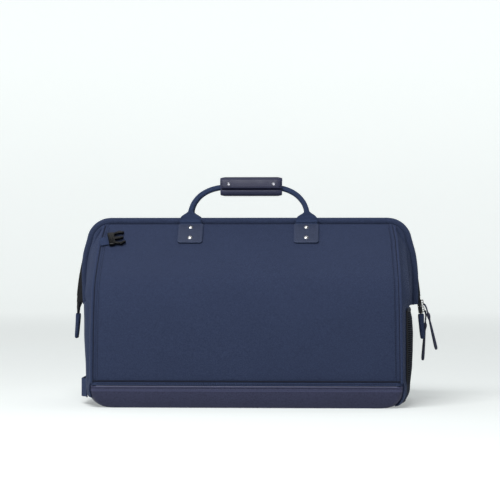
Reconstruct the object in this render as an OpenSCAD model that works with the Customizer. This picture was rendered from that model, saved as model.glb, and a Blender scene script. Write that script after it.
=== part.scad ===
// Weekender bag with a doctor-bag mouth.
// Two wire frames, hinged at the bag's ends, carry the upper half of the bag and close it along a zip.
// Millimetres. +Z is up, the front faces -Y, and the origin is on the floor under the middle of the base.

/* [Body] */
// Depth from front panel to back panel
body_d = 240; // [230:1:250]
// Half length at the middle of the bulged ends
end_x = 266; // [264:1:266]
// How far the ends bulge past the corners
end_bulge = 14.5; // [13:0.5:15]
// Height of the leather base
base_h = 36; // [30:1:45]
// Radius of the base's lower corners
base_corner_r = 20; // [12:1:24]
// Thickness of the padded panels
wall_t = 2.5; // [2:0.1:3]

/* [Mouth] */
// Height of the hinge that the two frames share
hinge_z = 175; // [172:1:178]
// Height of the closed ridge
ridge_z = 311.5; // [308:0.5:316]
// Lean of the upper panels from the vertical, in degrees
panel_lean = 46; // [44:1:47]
// Radius of the ridge's outer corners
fin_corner_r = 40; // [36:1:44]
// Distance from the middle to the centre of a ridge corner
fin_corner_x = 235.4; // [233:0.1:236]
// Splay of the frame channel's legs, in degrees
band_splay = 5.3; // [5:0.1:5.8]
// Splay of the zip along the legs, in degrees
tape_splay = 7.7; // [7.4:0.1:8]
// Diameter of the frame wire
wire_d = 4; // [3.5:0.1:4]

/* [Handles] */
// Distance between the two patches of one handle
handle_pitch = 194; // [180:1:200]
// Height of the handles' top above the floor, at the tube's centre
handle_z = 363; // [358:1:368]
// Width of the handle webbing
webbing_w = 36; // [30:1:38]
// Diameter of the folded part of a handle
tube_d = 8.8; // [8:0.1:9]
// Length of the leather grip
grip_w = 100; // [80:1:110]

/* [Hidden] */
$fn = 48;

navy = [0.20, 0.25, 0.38];
leather_navy = [0.17, 0.17, 0.28];
webbing_navy = [0.15, 0.19, 0.31];
zip_black = [0.10, 0.10, 0.10];
mesh_grey = [0.16, 0.16, 0.17];
metal = [0.75, 0.75, 0.77];
gap = 0.3;

// A round bar's bend and straight meet inside a short collar a little larger than the bar
collar_t = 0.25;
collar_half = 1;

// Body
end_r = (pow(body_d / 2, 2) + pow(end_bulge, 2)) / (2 * end_bulge);
side_top_z = hinge_z - 7;
front_y = -body_d / 2;
board_t = 3;
lining_t = 1.2;
lining_top_z = 95;
binding_t = 1.2;
binding_h = 6.7;
piping_r = 2.3;
piping_off = 1.7;

// Right side pocket and left grab strap
pocket_y = 95;
pocket_low_z = 40;
pocket_top_z = 145;
pocket_gap = 8;
pocket_t = 1.5;
elastic_h = 4;
strap_low_z = 18;
strap_h = 36;
strap_t = 2;
strap_arch_y = 62;
strap_foot = 16;
strap_rise = 12;

// Hinge
pin_r = 2.5;
eye_r = 6.5;
ear_r = 9;
pin_fit = 0.05;
ear_t = 2.3;
inner_ear_x = end_x + 0.2;
front_eye_x = inner_ear_x + ear_t + 0.7;
eye_t = 2.5;
back_eye_x = front_eye_x + eye_t + 0.6;
outer_ear_x = back_eye_x + eye_t + 1.2;
rivet_head_t = 1.5;
rivet_head_r = 4.5;
bracket_y = 8;
bracket_low_z = hinge_z - 23;

// Mouth: the upper panel is a straight slope that turns down into an arc
swing_r = body_d / 2 - wall_t - 1.5;
mouth_low_z = hinge_z + 1;
slope_top = [-13.3, ridge_z - 12];
slope_run = swing_r + slope_top.x;
slope_rise = slope_top.y - mouth_low_z;
shoulder_r = (slope_rise * tan(panel_lean) - slope_run)
    / (sin(panel_lean) * tan(panel_lean) - (1 - cos(panel_lean)));
shoulder = [shoulder_r - swing_r, mouth_low_z];
slope_len = (slope_run - shoulder_r * (1 - cos(panel_lean))) / sin(panel_lean);
panel_x = 244.5;
gusset_x = panel_x + wall_t;
fin_corner_z = ridge_z - fin_corner_r;
band_front_y = -11.5;
band_inner_y = -4.9;
band_low_z = hinge_z + 5;
band_web_z = ridge_z - 13.5;
wire_y = (band_front_y + band_inner_y) / 2;
wire_splay = 2.3;
wire_inset = 7;
wire_room = 0.3;
relief_r = ear_r + 1;

// Zip
zip_low_z = hinge_z + 6;
tape_inset = 2;
tape_t = 1;
flange_w = 8;
flange_t = 0.5;
coil_near_y = 0.7;
coil_far_y = 2.6;
coil_inset = 1.2;
coil_t = 2.6;
tail_low = -26;
tail_high = -6;
tail_w = 12;
tab_y = 10;
tab_low = -67;
tab_high = -26;
tab_t = 7;

// Sliders and pulls, measured along the right leg from the hinge's height
slider_len = 11;
slider_y = 4;
upper_slider_at = -7;
lower_slider_at = -18.5;
bail_out = 2.2;
bail_r = 0.6;
bail_y = 2;
bail_len = 5;
cord_r = 0.9;
tag_len = 60;
tag_w = 8;
tag_t = 3.4;
upper_bail_tilt = 50;
lower_bail_tilt = 50;
upper_knot = [302, -5, 148];
lower_knot = [299, 16, 129];
upper_tag_tilt = 13;
lower_tag_tilt = 0;

// Handles
patch_w = 41;
patch_len = 46;
patch_t = 1.8;
patch_top = 3;
end_len = 38;
end_t = 2;
rivet_rows = [-13, -38];
rivet_r = 3.8;
rivet_shaft_r = 1.5;
rivet_hole_r = 1.6;
rivet_dome_t = 1.3;
handle_foot = [-17.1, ridge_z - 8];
tube_y = -5;
handle_lean = atan((tube_y - handle_foot.x) / (handle_z - handle_foot.y));
handle_len = (handle_z - handle_foot.y) / cos(handle_lean);
handle_corner_r = 33;
handle_t = 2.4;
flat_len = 8;
taper_top = 24;

// Grip
grip_mid_x = 4;
grip_t = 2;
grip_low_z = handle_z - 14.5;
grip_top_z = handle_z + 14;
grip_back_y = 9.4;
leaf_y = -9.7;
leaf_t = 1.5;
flap_t = 1.4;
flap_low_z = handle_z - 1.5;
snap_z = handle_z + 5;
snap_dx = 37.7;
snap_r = 3.6;

// Buckle, placed on the front slope
buckle_up = -36.7;
buckle_tilt = 8;
buckle_t = 6;
buckle_off = 1;

// ---- Helpers ----

// Extrudes a profile drawn in (Y, Z) from x0 to x1
module along_x(x0, x1) {
    translate([x0, 0, 0]) rotate([90, 0, 90]) linear_extrude(x1 - x0) children();
}

// Extrudes a profile drawn in (X, Z) from y0 to y1
module along_y(y0, y1) {
    translate([0, y1, 0]) rotate([90, 0, 0]) linear_extrude(y1 - y0) children();
}

// Extrudes a plan drawn in (X, Y) from z0 to z1
module along_z(z0, z1) {
    translate([0, 0, z0]) linear_extrude(z1 - z0) children();
}

module both_ends() {
    children();
    mirror([1, 0, 0]) children();
}

module on_left() {
    mirror([1, 0, 0]) children();
}

module on_back() {
    mirror([0, 1, 0]) children();
}

// Plan of the body, drawn in by an inset: flat front and back, bulged ends
module body_plan(inset = 0) {
    intersection() {
        square([3 * end_x, body_d - 2 * inset], center = true);
        translate([end_x - end_r, 0]) circle(end_r - inset, $fn = 200);
        translate([end_r - end_x, 0]) circle(end_r - inset, $fn = 200);
    }
}

// Keeps the part of the plan past one end, up to the corner seams
module end_zone() {
    translate([0, -body_d / 2 + wall_t]) square([2 * end_x, body_d - 2 * wall_t]);
}

// Front view of the base with its rounded lower corners
module base_front(inset, floor_z, top_z) {
    corner = [end_x - base_corner_r, base_corner_r];
    translate([-corner.x, floor_z]) square([2 * corner.x, top_z - floor_z]);
    translate([-end_x + inset, corner.y]) square([2 * (end_x - inset), top_z - corner.y]);
    intersection() {
        for (side = [-1, 1]) {
            translate([side * corner.x, corner.y]) circle(base_corner_r - inset);
        }
        translate([-end_x, floor_z]) square([2 * end_x, top_z - floor_z]);
    }
}

// Solid tub with the body's plan and the base's front view
module tub(inset, floor_z, top_z) {
    intersection() {
        along_z(floor_z, top_z) body_plan(inset);
        along_y(-body_d, body_d) base_front(inset, floor_z, top_z);
    }
}

// Front view of the closed ridge: flat top, round corners and legs that splay
module fin_outline(splay, inset, low_z) {
    r = fin_corner_r - inset;
    centre = [fin_corner_x, fin_corner_z];
    arc = [for (step = [0 : 16]) let (turn = splay + (90 - splay) * step / 16)
        centre + r * [cos(turn), sin(turn)]];
    foot_x = arc[0].x + (arc[0].y - low_z) * tan(splay);
    half = concat([[foot_x, low_z]], arc);
    polygon(concat(half, [for (i = [len(half) - 1 : -1 : 0]) [-half[i].x, half[i].y]]));
}

// A strip of the ridge between two insets
module fin_ring(splay, near, far, low_z) {
    difference() {
        fin_outline(splay, near, low_z);
        fin_outline(splay, far, low_z - 1);
    }
}

// Right leg's frame at the hinge's height: X points out of the leg, Z runs up along it
function leg_x(z) = fin_corner_x + fin_corner_r * cos(tape_splay)
    + (fin_corner_z + fin_corner_r * sin(tape_splay) - z) * tan(tape_splay);

function leg_point(out, up) = [
    leg_x(hinge_z) + out * cos(tape_splay) - up * sin(tape_splay),
    0,
    hinge_z + out * sin(tape_splay) + up * cos(tape_splay)
];

module on_leg() {
    translate([leg_x(hinge_z), 0, hinge_z]) rotate([0, -tape_splay, 0]) children();
}

// Front slope's frame: X along the bag, Y up the slope, Z out of the panel
module on_slope() {
    translate([0, slope_top.x, slope_top.y]) rotate([90 - panel_lean, 0, 0]) children();
}

// A cylinder along X round the hinge's axis
module round_hinge(r, x0, x1) {
    translate([x0, 0, hinge_z]) rotate([0, 90, 0]) cylinder(r = r, h = x1 - x0);
}

// Collar over the joint of a bar of radius r, along Z
module collar(r) {
    translate([0, 0, -collar_half]) cylinder(r = r + collar_t, h = 2 * collar_half);
}

module rod(from, to, r) {
    run = to - from;
    length = norm(run);
    translate(from) rotate([0, acos(run.z / length), atan2(run.y, run.x)]) cylinder(r = r, h = length);
}

// ---- Lower body ----

module base_wrap() {
    color(leather_navy) difference() {
        tub(0, 0, base_h);
        tub(wall_t, wall_t, base_h + 1);
    }
}

module base_board() {
    board_x = end_x - base_corner_r - 10;
    board_y = body_d / 2 - wall_t - 2.5;
    color("dimgray") translate([-board_x, -board_y, wall_t + 0.1]) cube([2 * board_x, 2 * board_y, board_t]);
}

module lining() {
    outer = wall_t + 0.2;
    floor_z = wall_t + board_t + gap;
    color([0.35, 0.37, 0.42]) difference() {
        tub(outer, floor_z, lining_top_z);
        tub(outer + lining_t, floor_z + lining_t, lining_top_z + 1);
    }
}

module front_lower_panel() {
    color(navy) along_z(base_h, hinge_z) intersection() {
        body_plan();
        translate([-end_x, front_y]) square([2 * end_x, wall_t]);
    }
}

module back_lower_panel() {
    on_back() front_lower_panel();
}

module right_side_panel() {
    color(navy) along_z(base_h, side_top_z) intersection() {
        difference() {
            body_plan();
            body_plan(wall_t);
        }
        end_zone();
    }
}

module left_side_panel() {
    on_left() right_side_panel();
}

module front_piping() {
    corner_x = end_x - end_bulge;
    color(webbing_navy) both_ends() translate([corner_x + piping_off, front_y - piping_off, base_h])
        cylinder(r = piping_r, h = side_top_z - base_h);
}

module back_piping() {
    on_back() front_piping();
}

module front_base_binding() {
    binding_x = end_x - end_bulge - 1.5;
    color(navy) translate([-binding_x, front_y - binding_t, base_h])
        cube([2 * binding_x, binding_t, binding_h]);
}

module back_base_binding() {
    on_back() front_base_binding();
}

// ---- Side pocket and grab strap ----

// Ring that follows the right end at a distance
module end_ring(near, far, half_y) {
    intersection() {
        translate([end_x - end_r, 0]) difference() {
            circle(end_r + far, $fn = 200);
            circle(end_r + near, $fn = 200);
        }
        translate([0, -half_y]) square([2 * end_x, 2 * half_y]);
    }
}

module side_pocket() {
    outer = pocket_gap + pocket_t;
    color(mesh_grey) {
        along_z(pocket_low_z, pocket_top_z) {
            end_ring(pocket_gap, outer, pocket_y);
            difference() {
                end_ring(0, outer, pocket_y);
                end_ring(-1, outer + 1, pocket_y - pocket_t);
            }
        }
        along_z(pocket_low_z, pocket_low_z + pocket_t) end_ring(0, outer, pocket_y);
    }
}

module pocket_elastic() {
    color(zip_black) along_z(pocket_top_z, pocket_top_z + elastic_h)
        end_ring(pocket_gap - 0.4, pocket_gap + pocket_t + 0.4, pocket_y);
}

module side_grab_strap() {
    foot_x = sqrt(pow(end_r, 2) - pow(strap_arch_y, 2)) - end_r + end_x;
    sagitta = end_x + strap_rise - foot_x;
    arch_r = (pow(strap_arch_y, 2) + pow(sagitta, 2)) / (2 * sagitta);
    color(webbing_navy) on_left() along_z(strap_low_z, strap_low_z + strap_h) {
        intersection() {
            translate([end_x + strap_rise - arch_r, 0]) difference() {
                circle(arch_r, $fn = 96);
                circle(arch_r - strap_t, $fn = 96);
            }
            end_ring(0, 2 * strap_rise, strap_arch_y);
        }
        difference() {
            end_ring(0, strap_t, strap_arch_y + strap_foot);
            end_ring(-1, strap_t + 1, strap_arch_y - 4);
        }
    }
}

// ---- Hinge ----

module right_hinge_bracket() {
    bridge_top = hinge_z - eye_r - 1;
    outer_x = outer_ear_x + ear_t;
    color(metal) difference() {
        union() {
            translate([inner_ear_x, -bracket_y, bracket_low_z])
                cube([outer_x - inner_ear_x, 2 * bracket_y, bridge_top - bracket_low_z]);
            for (x = [inner_ear_x, outer_ear_x]) {
                round_hinge(ear_r, x, x + ear_t);
                translate([x, -bracket_y, bridge_top - 1]) cube([ear_t, 2 * bracket_y, eye_r + 1]);
            }
        }
        round_hinge(pin_r + pin_fit, inner_ear_x - 1, outer_x + 1);
    }
}

module left_hinge_bracket() {
    on_left() right_hinge_bracket();
}

module hinge_rivets() {
    outer_x = outer_ear_x + ear_t;
    color(metal) both_ends() {
        round_hinge(pin_r, inner_ear_x - 1, outer_x + 1);
        round_hinge(rivet_head_r, inner_ear_x - rivet_head_t, inner_ear_x);
        round_hinge(rivet_head_r, outer_x, outer_x + rivet_head_t);
    }
}

// ---- Zip tails and their tabs ----

module right_zip_tail() {
    color(zip_black) on_leg() for (side = [0, 1]) mirror([0, side, 0]) {
        translate([-coil_inset - coil_t, coil_near_y, tail_low])
            cube([coil_t, coil_far_y - coil_near_y, tail_high - tail_low]);
        translate([-tape_inset - tape_t, coil_far_y, tail_low])
            cube([tape_t, tail_w - coil_far_y, tail_high - tail_low]);
    }
}

module left_zip_tail() {
    on_left() right_zip_tail();
}

module right_end_tab() {
    tab_out = tab_t / 2 - tape_inset;
    color(webbing_navy) on_leg() translate([tab_out - tab_t, 0, 0]) {
        translate([0, -tab_y, tab_low + 4]) cube([tab_t, 2 * tab_y, tab_high - tab_low - 4]);
        rotate([90, 0, 90]) translate([0, tab_low + 4]) linear_extrude(tab_t) intersection() {
            translate([0, tab_y - 4]) circle(tab_y, $fn = 64);
            translate([-tab_y, -4]) square([2 * tab_y, 5]);
        }
    }
}

module left_end_tab() {
    on_left() right_end_tab();
}

// ---- Mouth halves. Each is drawn at the front and mirrored for the back. ----

// Wedge that holds the shoulder's arc, from straight out to the slope's start
module shoulder_wedge() {
    reach = 2 * shoulder_r;
    polygon([
        shoulder,
        shoulder + [-reach, 0],
        shoulder + reach * [-cos(panel_lean / 2), sin(panel_lean / 2)],
        shoulder + reach * [-cos(panel_lean), sin(panel_lean)]
    ]);
}

module upper_panel() {
    color(navy) along_x(-panel_x, panel_x) {
        intersection() {
            translate(shoulder) difference() {
                circle(shoulder_r, $fn = 96);
                circle(shoulder_r - wall_t, $fn = 96);
            }
            shoulder_wedge();
        }
        translate(slope_top) rotate(90 - panel_lean) translate([-slope_len, -wall_t])
            square([slope_len, wall_t]);
    }
}

module gusset() {
    near_top = slope_top - (slope_top.y - band_web_z) * [tan(panel_lean), 1];
    arc = [for (step = [0 : 8]) let (turn = panel_lean * step / 8)
        shoulder + shoulder_r * [-cos(turn), sin(turn)]];
    color(navy) along_x(panel_x, gusset_x) polygon(concat(
        [[band_inner_y, mouth_low_z]], arc, [near_top, [band_inner_y, band_web_z]]
    ));
}

// One frame: a U of round wire with an eye on each leg. eye_x is the eye's inner face.
module frame_wire(eye_x) {
    r = wire_d / 2;
    bend_r = fin_corner_r - wire_inset;
    eye_top_z = hinge_z + 17;
    leg_len = (fin_corner_z - hinge_z - 11) / cos(wire_splay) + bend_r * tan(wire_splay);
    color(metal) difference() {
        union() {
            both_ends() {
                translate([fin_corner_x, wire_y, fin_corner_z]) rotate([90, 0, 0])
                    rotate([0, 0, wire_splay]) {
                        rotate_extrude(angle = 90 - wire_splay) translate([bend_r, 0]) circle(r);
                        translate([bend_r, 0, 0]) rotate([90, 0, 0]) cylinder(r = r, h = leg_len);
                        translate([bend_r, 0, 0]) rotate([90, 0, 0]) collar(r);
                    }
                translate([fin_corner_x, wire_y, fin_corner_z + bend_r]) rotate([0, 90, 0]) collar(r);
                round_hinge(eye_r, eye_x, eye_x + eye_t);
                along_x(eye_x, eye_x + eye_t) polygon([
                    [-eye_r + 0.5, hinge_z],
                    [wire_y - r + 0.5, hinge_z + 8],
                    [wire_y - r + 0.5, eye_top_z],
                    [wire_y + r - 0.5, eye_top_z],
                    [wire_y + r - 0.5, hinge_z + 12],
                    [3.5, hinge_z + 5]
                ]);
            }
            translate([-fin_corner_x, wire_y, fin_corner_z + bend_r]) rotate([0, 90, 0])
                cylinder(r = r, h = 2 * fin_corner_x);
        }
        both_ends() round_hinge(pin_r + pin_fit, eye_x - 1, eye_x + eye_t + 1);
    }
}

// Room round the hinge's ears and rivet heads, from low_x outward
module hinge_relief(low_x) {
    along_x(low_x, outer_ear_x + ear_t + rivet_head_t + 1)
        translate([-relief_r, hinge_z - relief_r]) square(2 * relief_r);
}

// Fabric channel that holds the wire, with the fin between it and the gusset
module mouth_band() {
    room = wire_d / 2 + wire_room;
    color(navy) difference() {
        along_y(band_front_y, band_inner_y) difference() {
            fin_outline(band_splay, 0, band_low_z);
            translate([-gusset_x, band_low_z - 1]) square([2 * gusset_x, band_web_z - band_low_z + 1]);
        }
        along_y(wire_y - room, wire_y + room)
            fin_ring(wire_splay, wire_inset - room, wire_inset + room, band_low_z - 1);
        both_ends() {
            hinge_relief(inner_ear_x - rivet_head_t - 1);
            translate([front_eye_x - 0.5, wire_y - room, band_low_z - 1])
                cube([back_eye_x + eye_t + 1 - front_eye_x, 10, 14]);
        }
    }
}

module zip_tape() {
    color(zip_black) difference() {
        union() {
            along_y(band_inner_y, -coil_far_y)
                fin_ring(tape_splay, tape_inset, tape_inset + tape_t, zip_low_z);
            along_y(band_inner_y, band_inner_y + flange_t)
                fin_ring(tape_splay, tape_inset, tape_inset + flange_w, zip_low_z);
        }
        both_ends() hinge_relief(inner_ear_x - 3);
    }
}

module zip_coil() {
    color(zip_black) along_y(-coil_far_y, -coil_near_y)
        fin_ring(tape_splay, coil_inset, coil_inset + coil_t, zip_low_z);
}

// Webbing ends, patches and rivets lie on the slope in that order
module webbing_ends() {
    color(webbing_navy) on_slope() both_ends() difference() {
        translate([handle_pitch / 2 - webbing_w / 2, -end_len - patch_top - 2, 0])
            cube([webbing_w, end_len, end_t]);
        rivet_holes();
    }
}

module patch() {
    color(leather_navy) on_slope() difference() {
        translate([handle_pitch / 2 - patch_w / 2, -patch_len - patch_top, end_t])
            cube([patch_w, patch_len, patch_t]);
        rivet_holes();
    }
}

module rivet_holes() {
    for (row = rivet_rows) {
        translate([handle_pitch / 2, row, -1]) cylinder(r = rivet_hole_r, h = end_t + patch_t + 2);
    }
}

module patch_rivets() {
    color(metal) on_slope() both_ends() for (row = rivet_rows) {
        translate([handle_pitch / 2, row, 0]) cylinder(r = rivet_shaft_r, h = end_t + patch_t + 0.5);
        translate([handle_pitch / 2, row, end_t + patch_t]) cylinder(r = rivet_r, h = rivet_dome_t);
    }
}

module front_upper_panel() { upper_panel(); }
module front_left_gusset() { on_left() gusset(); }
module front_right_gusset() { gusset(); }
module front_frame_wire() { frame_wire(front_eye_x); }
module front_mouth_band() { mouth_band(); }
module front_zip_tape() { zip_tape(); }
module front_zip_coil() { zip_coil(); }
module front_left_patch() { on_left() patch(); }
module front_right_patch() { patch(); }
module front_patch_rivets() { patch_rivets(); }
module front_webbing_ends() { webbing_ends(); }

module back_upper_panel() { on_back() upper_panel(); }
module back_left_gusset() { on_back() on_left() gusset(); }
module back_right_gusset() { on_back() gusset(); }
module back_frame_wire() { on_back() frame_wire(back_eye_x); }
module back_mouth_band() { on_back() mouth_band(); }
module back_zip_tape() { on_back() zip_tape(); }
module back_zip_coil() { on_back() zip_coil(); }
module back_left_patch() { on_back() on_left() patch(); }
module back_right_patch() { on_back() patch(); }
module back_patch_rivets() { on_back() patch_rivets(); }
module back_webbing_ends() { on_back() webbing_ends(); }

// ---- Handles and grip ----

// Flat webbing that tapers into a folded tube and arches across to the other patch
module handle() {
    leg_x = handle_pitch / 2;
    bend_z = handle_len - handle_corner_r;
    bend_x = leg_x - handle_corner_r;
    r = tube_d / 2;
    half = webbing_w / 2;
    color(webbing_navy) translate([0, handle_foot.x, handle_foot.y]) rotate([-handle_lean, 0, 0]) {
        both_ends() {
            translate([leg_x - half, 0, 0]) rotate([0, 90, 0]) cylinder(r = handle_t / 2 + 0.3, h = webbing_w);
            along_y(-handle_t / 2, handle_t / 2) translate([leg_x, 0]) polygon([
                [-half, 0], [half, 0], [half, flat_len],
                [r - 1, taper_top], [1 - r, taper_top], [-half, flat_len]
            ]);
            translate([leg_x, 0, taper_top - 6]) cylinder(r = r, h = bend_z - taper_top + 6);
            translate([leg_x, 0, bend_z]) collar(r);
            translate([bend_x, 0, handle_len]) rotate([0, 90, 0]) collar(r);
            translate([bend_x, 0, bend_z]) rotate([90, 0, 0])
                rotate_extrude(angle = 90) translate([handle_corner_r, 0]) circle(r);
        }
        translate([-bend_x, 0, handle_len]) rotate([0, 90, 0]) cylinder(r = r, h = 2 * bend_x);
    }
}

module front_handle() { handle(); }
module back_handle() { on_back() handle(); }

grip_x0 = grip_mid_x - grip_w / 2;
grip_x1 = grip_mid_x + grip_w / 2;

// Back and floor of the leather grip, sewn to the back handle
module grip_cradle() {
    color(leather_navy) along_x(grip_x0, grip_x1) {
        translate([grip_back_y, grip_low_z]) square([grip_t, grip_top_z - 2 - grip_low_z]);
        translate([leaf_y + gap, grip_low_z]) square([grip_back_y - leaf_y, grip_t]);
    }
}

// Inner leaf that stands up in front of the handles, hinged at its foot
module grip_leaf() {
    leaf_mid = leaf_y - leaf_t / 2;
    color(leather_navy) difference() {
        along_x(grip_x0, grip_x1) {
            translate([leaf_mid, grip_low_z + 1]) circle(leaf_t / 2);
            translate([leaf_y - leaf_t, grip_low_z + 1]) square([leaf_t, 22]);
        }
        snap_places() translate([0, 0, -leaf_y - 1]) cylinder(r = 1.6, h = leaf_t + 2);
    }
}

// Outer flap that lies over the top and snaps to the leaf, hinged at its back edge
module grip_flap() {
    flap_y = leaf_y - leaf_t - gap;
    foot = [grip_back_y + 1, grip_top_z - flap_t / 2];
    color(leather_navy) difference() {
        along_x(grip_x0, grip_x1) {
            translate(foot) circle(flap_t / 2);
            translate([flap_y, grip_top_z - flap_t]) square([foot.x - flap_y, flap_t]);
            translate([flap_y - flap_t, flap_low_z]) square([flap_t, grip_top_z - flap_low_z]);
        }
        snap_places() translate([0, 0, -flap_y - 1]) cylinder(r = 2.4, h = flap_t + 2);
    }
}

// Frames with Z pointing out of the grip's front at the two snaps
module snap_places() {
    for (side = [-1, 1]) {
        translate([grip_mid_x + side * snap_dx, 0, snap_z]) rotate([90, 0, 0]) children();
    }
}

module snap_studs() {
    front = -leaf_y + leaf_t;
    color(metal) snap_places() {
        translate([0, 0, -leaf_y]) cylinder(r = 1.5, h = leaf_t + 0.1);
        translate([0, 0, front]) cylinder(r = 2, h = gap + flap_t - 0.2);
    }
}

module snap_caps() {
    front = -leaf_y + leaf_t + gap + flap_t;
    color(metal) snap_places() translate([0, 0, front]) cylinder(r = snap_r, h = 1.2);
}

// ---- Sliders and pulls ----

// Slider that straddles the zip coil, with a bridge for the pull's bail
module slider(at) {
    lip_y = slider_y - 0.9;
    half = slider_len / 2;
    color(zip_black) on_leg() translate([0, 0, at]) {
        translate([-0.8, -slider_y, -half]) cube([1.8, 2 * slider_y, slider_len]);
        translate([-6, -slider_y, -half]) cube([1.8, 2 * slider_y, slider_len]);
        translate([-5, -0.45, half - 1.8]) cube([5, 0.9, 1.7]);
        for (side = [0, 1]) mirror([0, side, 0]) {
            translate([-1.6, lip_y, -half]) cube([0.9, 0.9, slider_len]);
            translate([-4.3, lip_y, -half]) cube([0.9, 0.9, slider_len]);
        }
        for (post = [-4.9, 3.5]) {
            translate([0.9, -0.9, post]) cube([3.6, 1.8, 1.4]);
        }
        translate([3.4, -0.9, -4.9]) cube([1.2, 1.8, 9.8]);
    }
}

// Wire bail that turns on its crossbar under the bridge
module bail(hinge, tilt) {
    tip = hinge + bail_len * [sin(tilt), 0, -cos(tilt)];
    side = [0, bail_y, 0];
    bar = [0, bail_y + bail_r, 0];
    color(metal) {
        rod(hinge - bar, hinge + bar, bail_r);
        rod(tip - bar, tip + bar, bail_r);
        for (end = [-1, 1]) rod(hinge + end * side, tip + end * side, bail_r - 0.1);
    }
}

// Cord from the bail to the knot, and the moulded tag below it
module pull_tag(hinge, bail_tilt, elbow, knot, tag_tilt) {
    start = hinge + (bail_len + bail_r + cord_r) * [sin(bail_tilt), 0, -cos(bail_tilt)];
    color(webbing_navy) {
        rod(start, elbow, cord_r, $fn = 8);
        translate(elbow) sphere(cord_r + 0.2);
        rod(elbow, knot, cord_r, $fn = 8);
        translate(knot) rotate([0, -tag_tilt, 0]) rotate([0, 0, 90]) {
            along_y(-tag_t / 2, tag_t / 2) polygon([
                [0, 3], [tag_w / 2, -3], [2.4, -9], [tag_w / 2, -15],
                [tag_w / 2, 3 - tag_len], [1, -tag_len], [-1, -tag_len], [-tag_w / 2, 3 - tag_len],
                [-tag_w / 2, -15], [-2.4, -9], [-tag_w / 2, -3]
            ]);
        }
    }
}

upper_bail_at = leg_point(bail_out, upper_slider_at);
lower_bail_at = leg_point(bail_out, lower_slider_at);

module upper_slider() { slider(upper_slider_at); }
module lower_slider() { slider(lower_slider_at); }
module upper_pull_bail() { bail(upper_bail_at, upper_bail_tilt); }
module lower_pull_bail() { bail(lower_bail_at, lower_bail_tilt); }
module upper_pull_tag() {
    pull_tag(upper_bail_at, upper_bail_tilt, [298, -5, 161.5], upper_knot, upper_tag_tilt);
}
module lower_pull_tag() {
    pull_tag(lower_bail_at, lower_bail_tilt, [299, 16, 146], lower_knot, lower_tag_tilt);
}

// ---- Buckle ----

// Frame at the left seam, with X along the buckle's webbing
module at_buckle() {
    on_slope() translate([-panel_x + 1, buckle_up, buckle_off]) rotate([0, 0, buckle_tilt]) children();
}

module buckle_webbing() {
    color(webbing_navy) at_buckle() {
        translate([0, -9, 0.8]) rotate([-90, 0, 0]) cylinder(r = 1.2, h = 18);
        translate([0, -9, 0]) cube([11, 18, 1.6]);
    }
}

// Male half of a side-release buckle: a bar and three prongs
module buckle_male() {
    color(zip_black) at_buckle() translate([11, 0, 0]) linear_extrude(buckle_t) {
        translate([0, -12.5]) square([9, 25]);
        translate([9, -2.5]) square([14, 5]);
        for (side = [0, 1]) mirror([0, side]) {
            polygon([[9, 7], [9, 11], [17, 12.5], [23, 9.5], [24, 7], [21, 6.5]]);
        }
    }
}

base_wrap();
base_board();
lining();
front_lower_panel();
back_lower_panel();
left_side_panel();
right_side_panel();
front_piping();
back_piping();
front_base_binding();
back_base_binding();
side_pocket();
pocket_elastic();
side_grab_strap();
left_hinge_bracket();
right_hinge_bracket();
hinge_rivets();
left_zip_tail();
right_zip_tail();
left_end_tab();
right_end_tab();
front_upper_panel();
front_left_gusset();
front_right_gusset();
front_frame_wire();
front_mouth_band();
front_zip_tape();
front_zip_coil();
front_left_patch();
front_right_patch();
front_patch_rivets();
front_webbing_ends();
back_upper_panel();
back_left_gusset();
back_right_gusset();
back_frame_wire();
back_mouth_band();
back_zip_tape();
back_zip_coil();
back_left_patch();
back_right_patch();
back_patch_rivets();
back_webbing_ends();
front_handle();
back_handle();
grip_cradle();
grip_leaf();
snap_studs();
grip_flap();
snap_caps();
upper_slider();
lower_slider();
upper_pull_bail();
upper_pull_tag();
lower_pull_bail();
lower_pull_tag();
buckle_webbing();
buckle_male();
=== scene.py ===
"""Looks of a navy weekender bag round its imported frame. Lengths are millimetres until a mesh is made."""

import math

import bmesh
import bpy
from mathutils import Matrix, Vector, noise


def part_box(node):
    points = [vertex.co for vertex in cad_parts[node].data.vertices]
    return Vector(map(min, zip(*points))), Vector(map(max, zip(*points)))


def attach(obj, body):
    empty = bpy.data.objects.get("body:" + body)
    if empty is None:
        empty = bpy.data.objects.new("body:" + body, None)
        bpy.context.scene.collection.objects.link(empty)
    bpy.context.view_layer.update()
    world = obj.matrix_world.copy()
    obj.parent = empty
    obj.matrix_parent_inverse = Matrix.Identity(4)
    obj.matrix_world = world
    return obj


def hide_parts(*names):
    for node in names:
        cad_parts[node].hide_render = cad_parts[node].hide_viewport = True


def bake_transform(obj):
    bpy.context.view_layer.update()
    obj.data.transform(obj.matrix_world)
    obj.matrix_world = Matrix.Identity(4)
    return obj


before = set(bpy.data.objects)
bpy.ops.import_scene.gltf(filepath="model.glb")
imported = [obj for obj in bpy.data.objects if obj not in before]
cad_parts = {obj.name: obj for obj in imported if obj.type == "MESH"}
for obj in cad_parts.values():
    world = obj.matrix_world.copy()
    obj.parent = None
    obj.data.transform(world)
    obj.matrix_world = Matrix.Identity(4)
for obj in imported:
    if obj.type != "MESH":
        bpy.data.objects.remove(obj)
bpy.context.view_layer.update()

MM = 0.001
HALF_DEPTH = 120.0
CORNER_X = 251.5
END_BULGE = 14.5
BULGE_POWER = 3.2
CROWN = 2.8
HINGE_Z = 175.0
RIDGE_Z = 311.5
SIDE_TOP = 168.0
LEAN = math.radians(46)
SLOPE_TOP = Vector((0, -13.3, 299.5))
SLOPE_UP = Vector((0, math.sin(LEAN), math.cos(LEAN)))
SLOPE_OUT = Vector((0, -math.cos(LEAN), math.sin(LEAN)))
FIN_X = 233.0
FIN_Z = 269.9
FIN_R = 41.6
LEG_SPLAY = math.radians(7.7)
CORNER_R = 3.2
LEG_FOOT = 288.8
WRAP = 18.0
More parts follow.
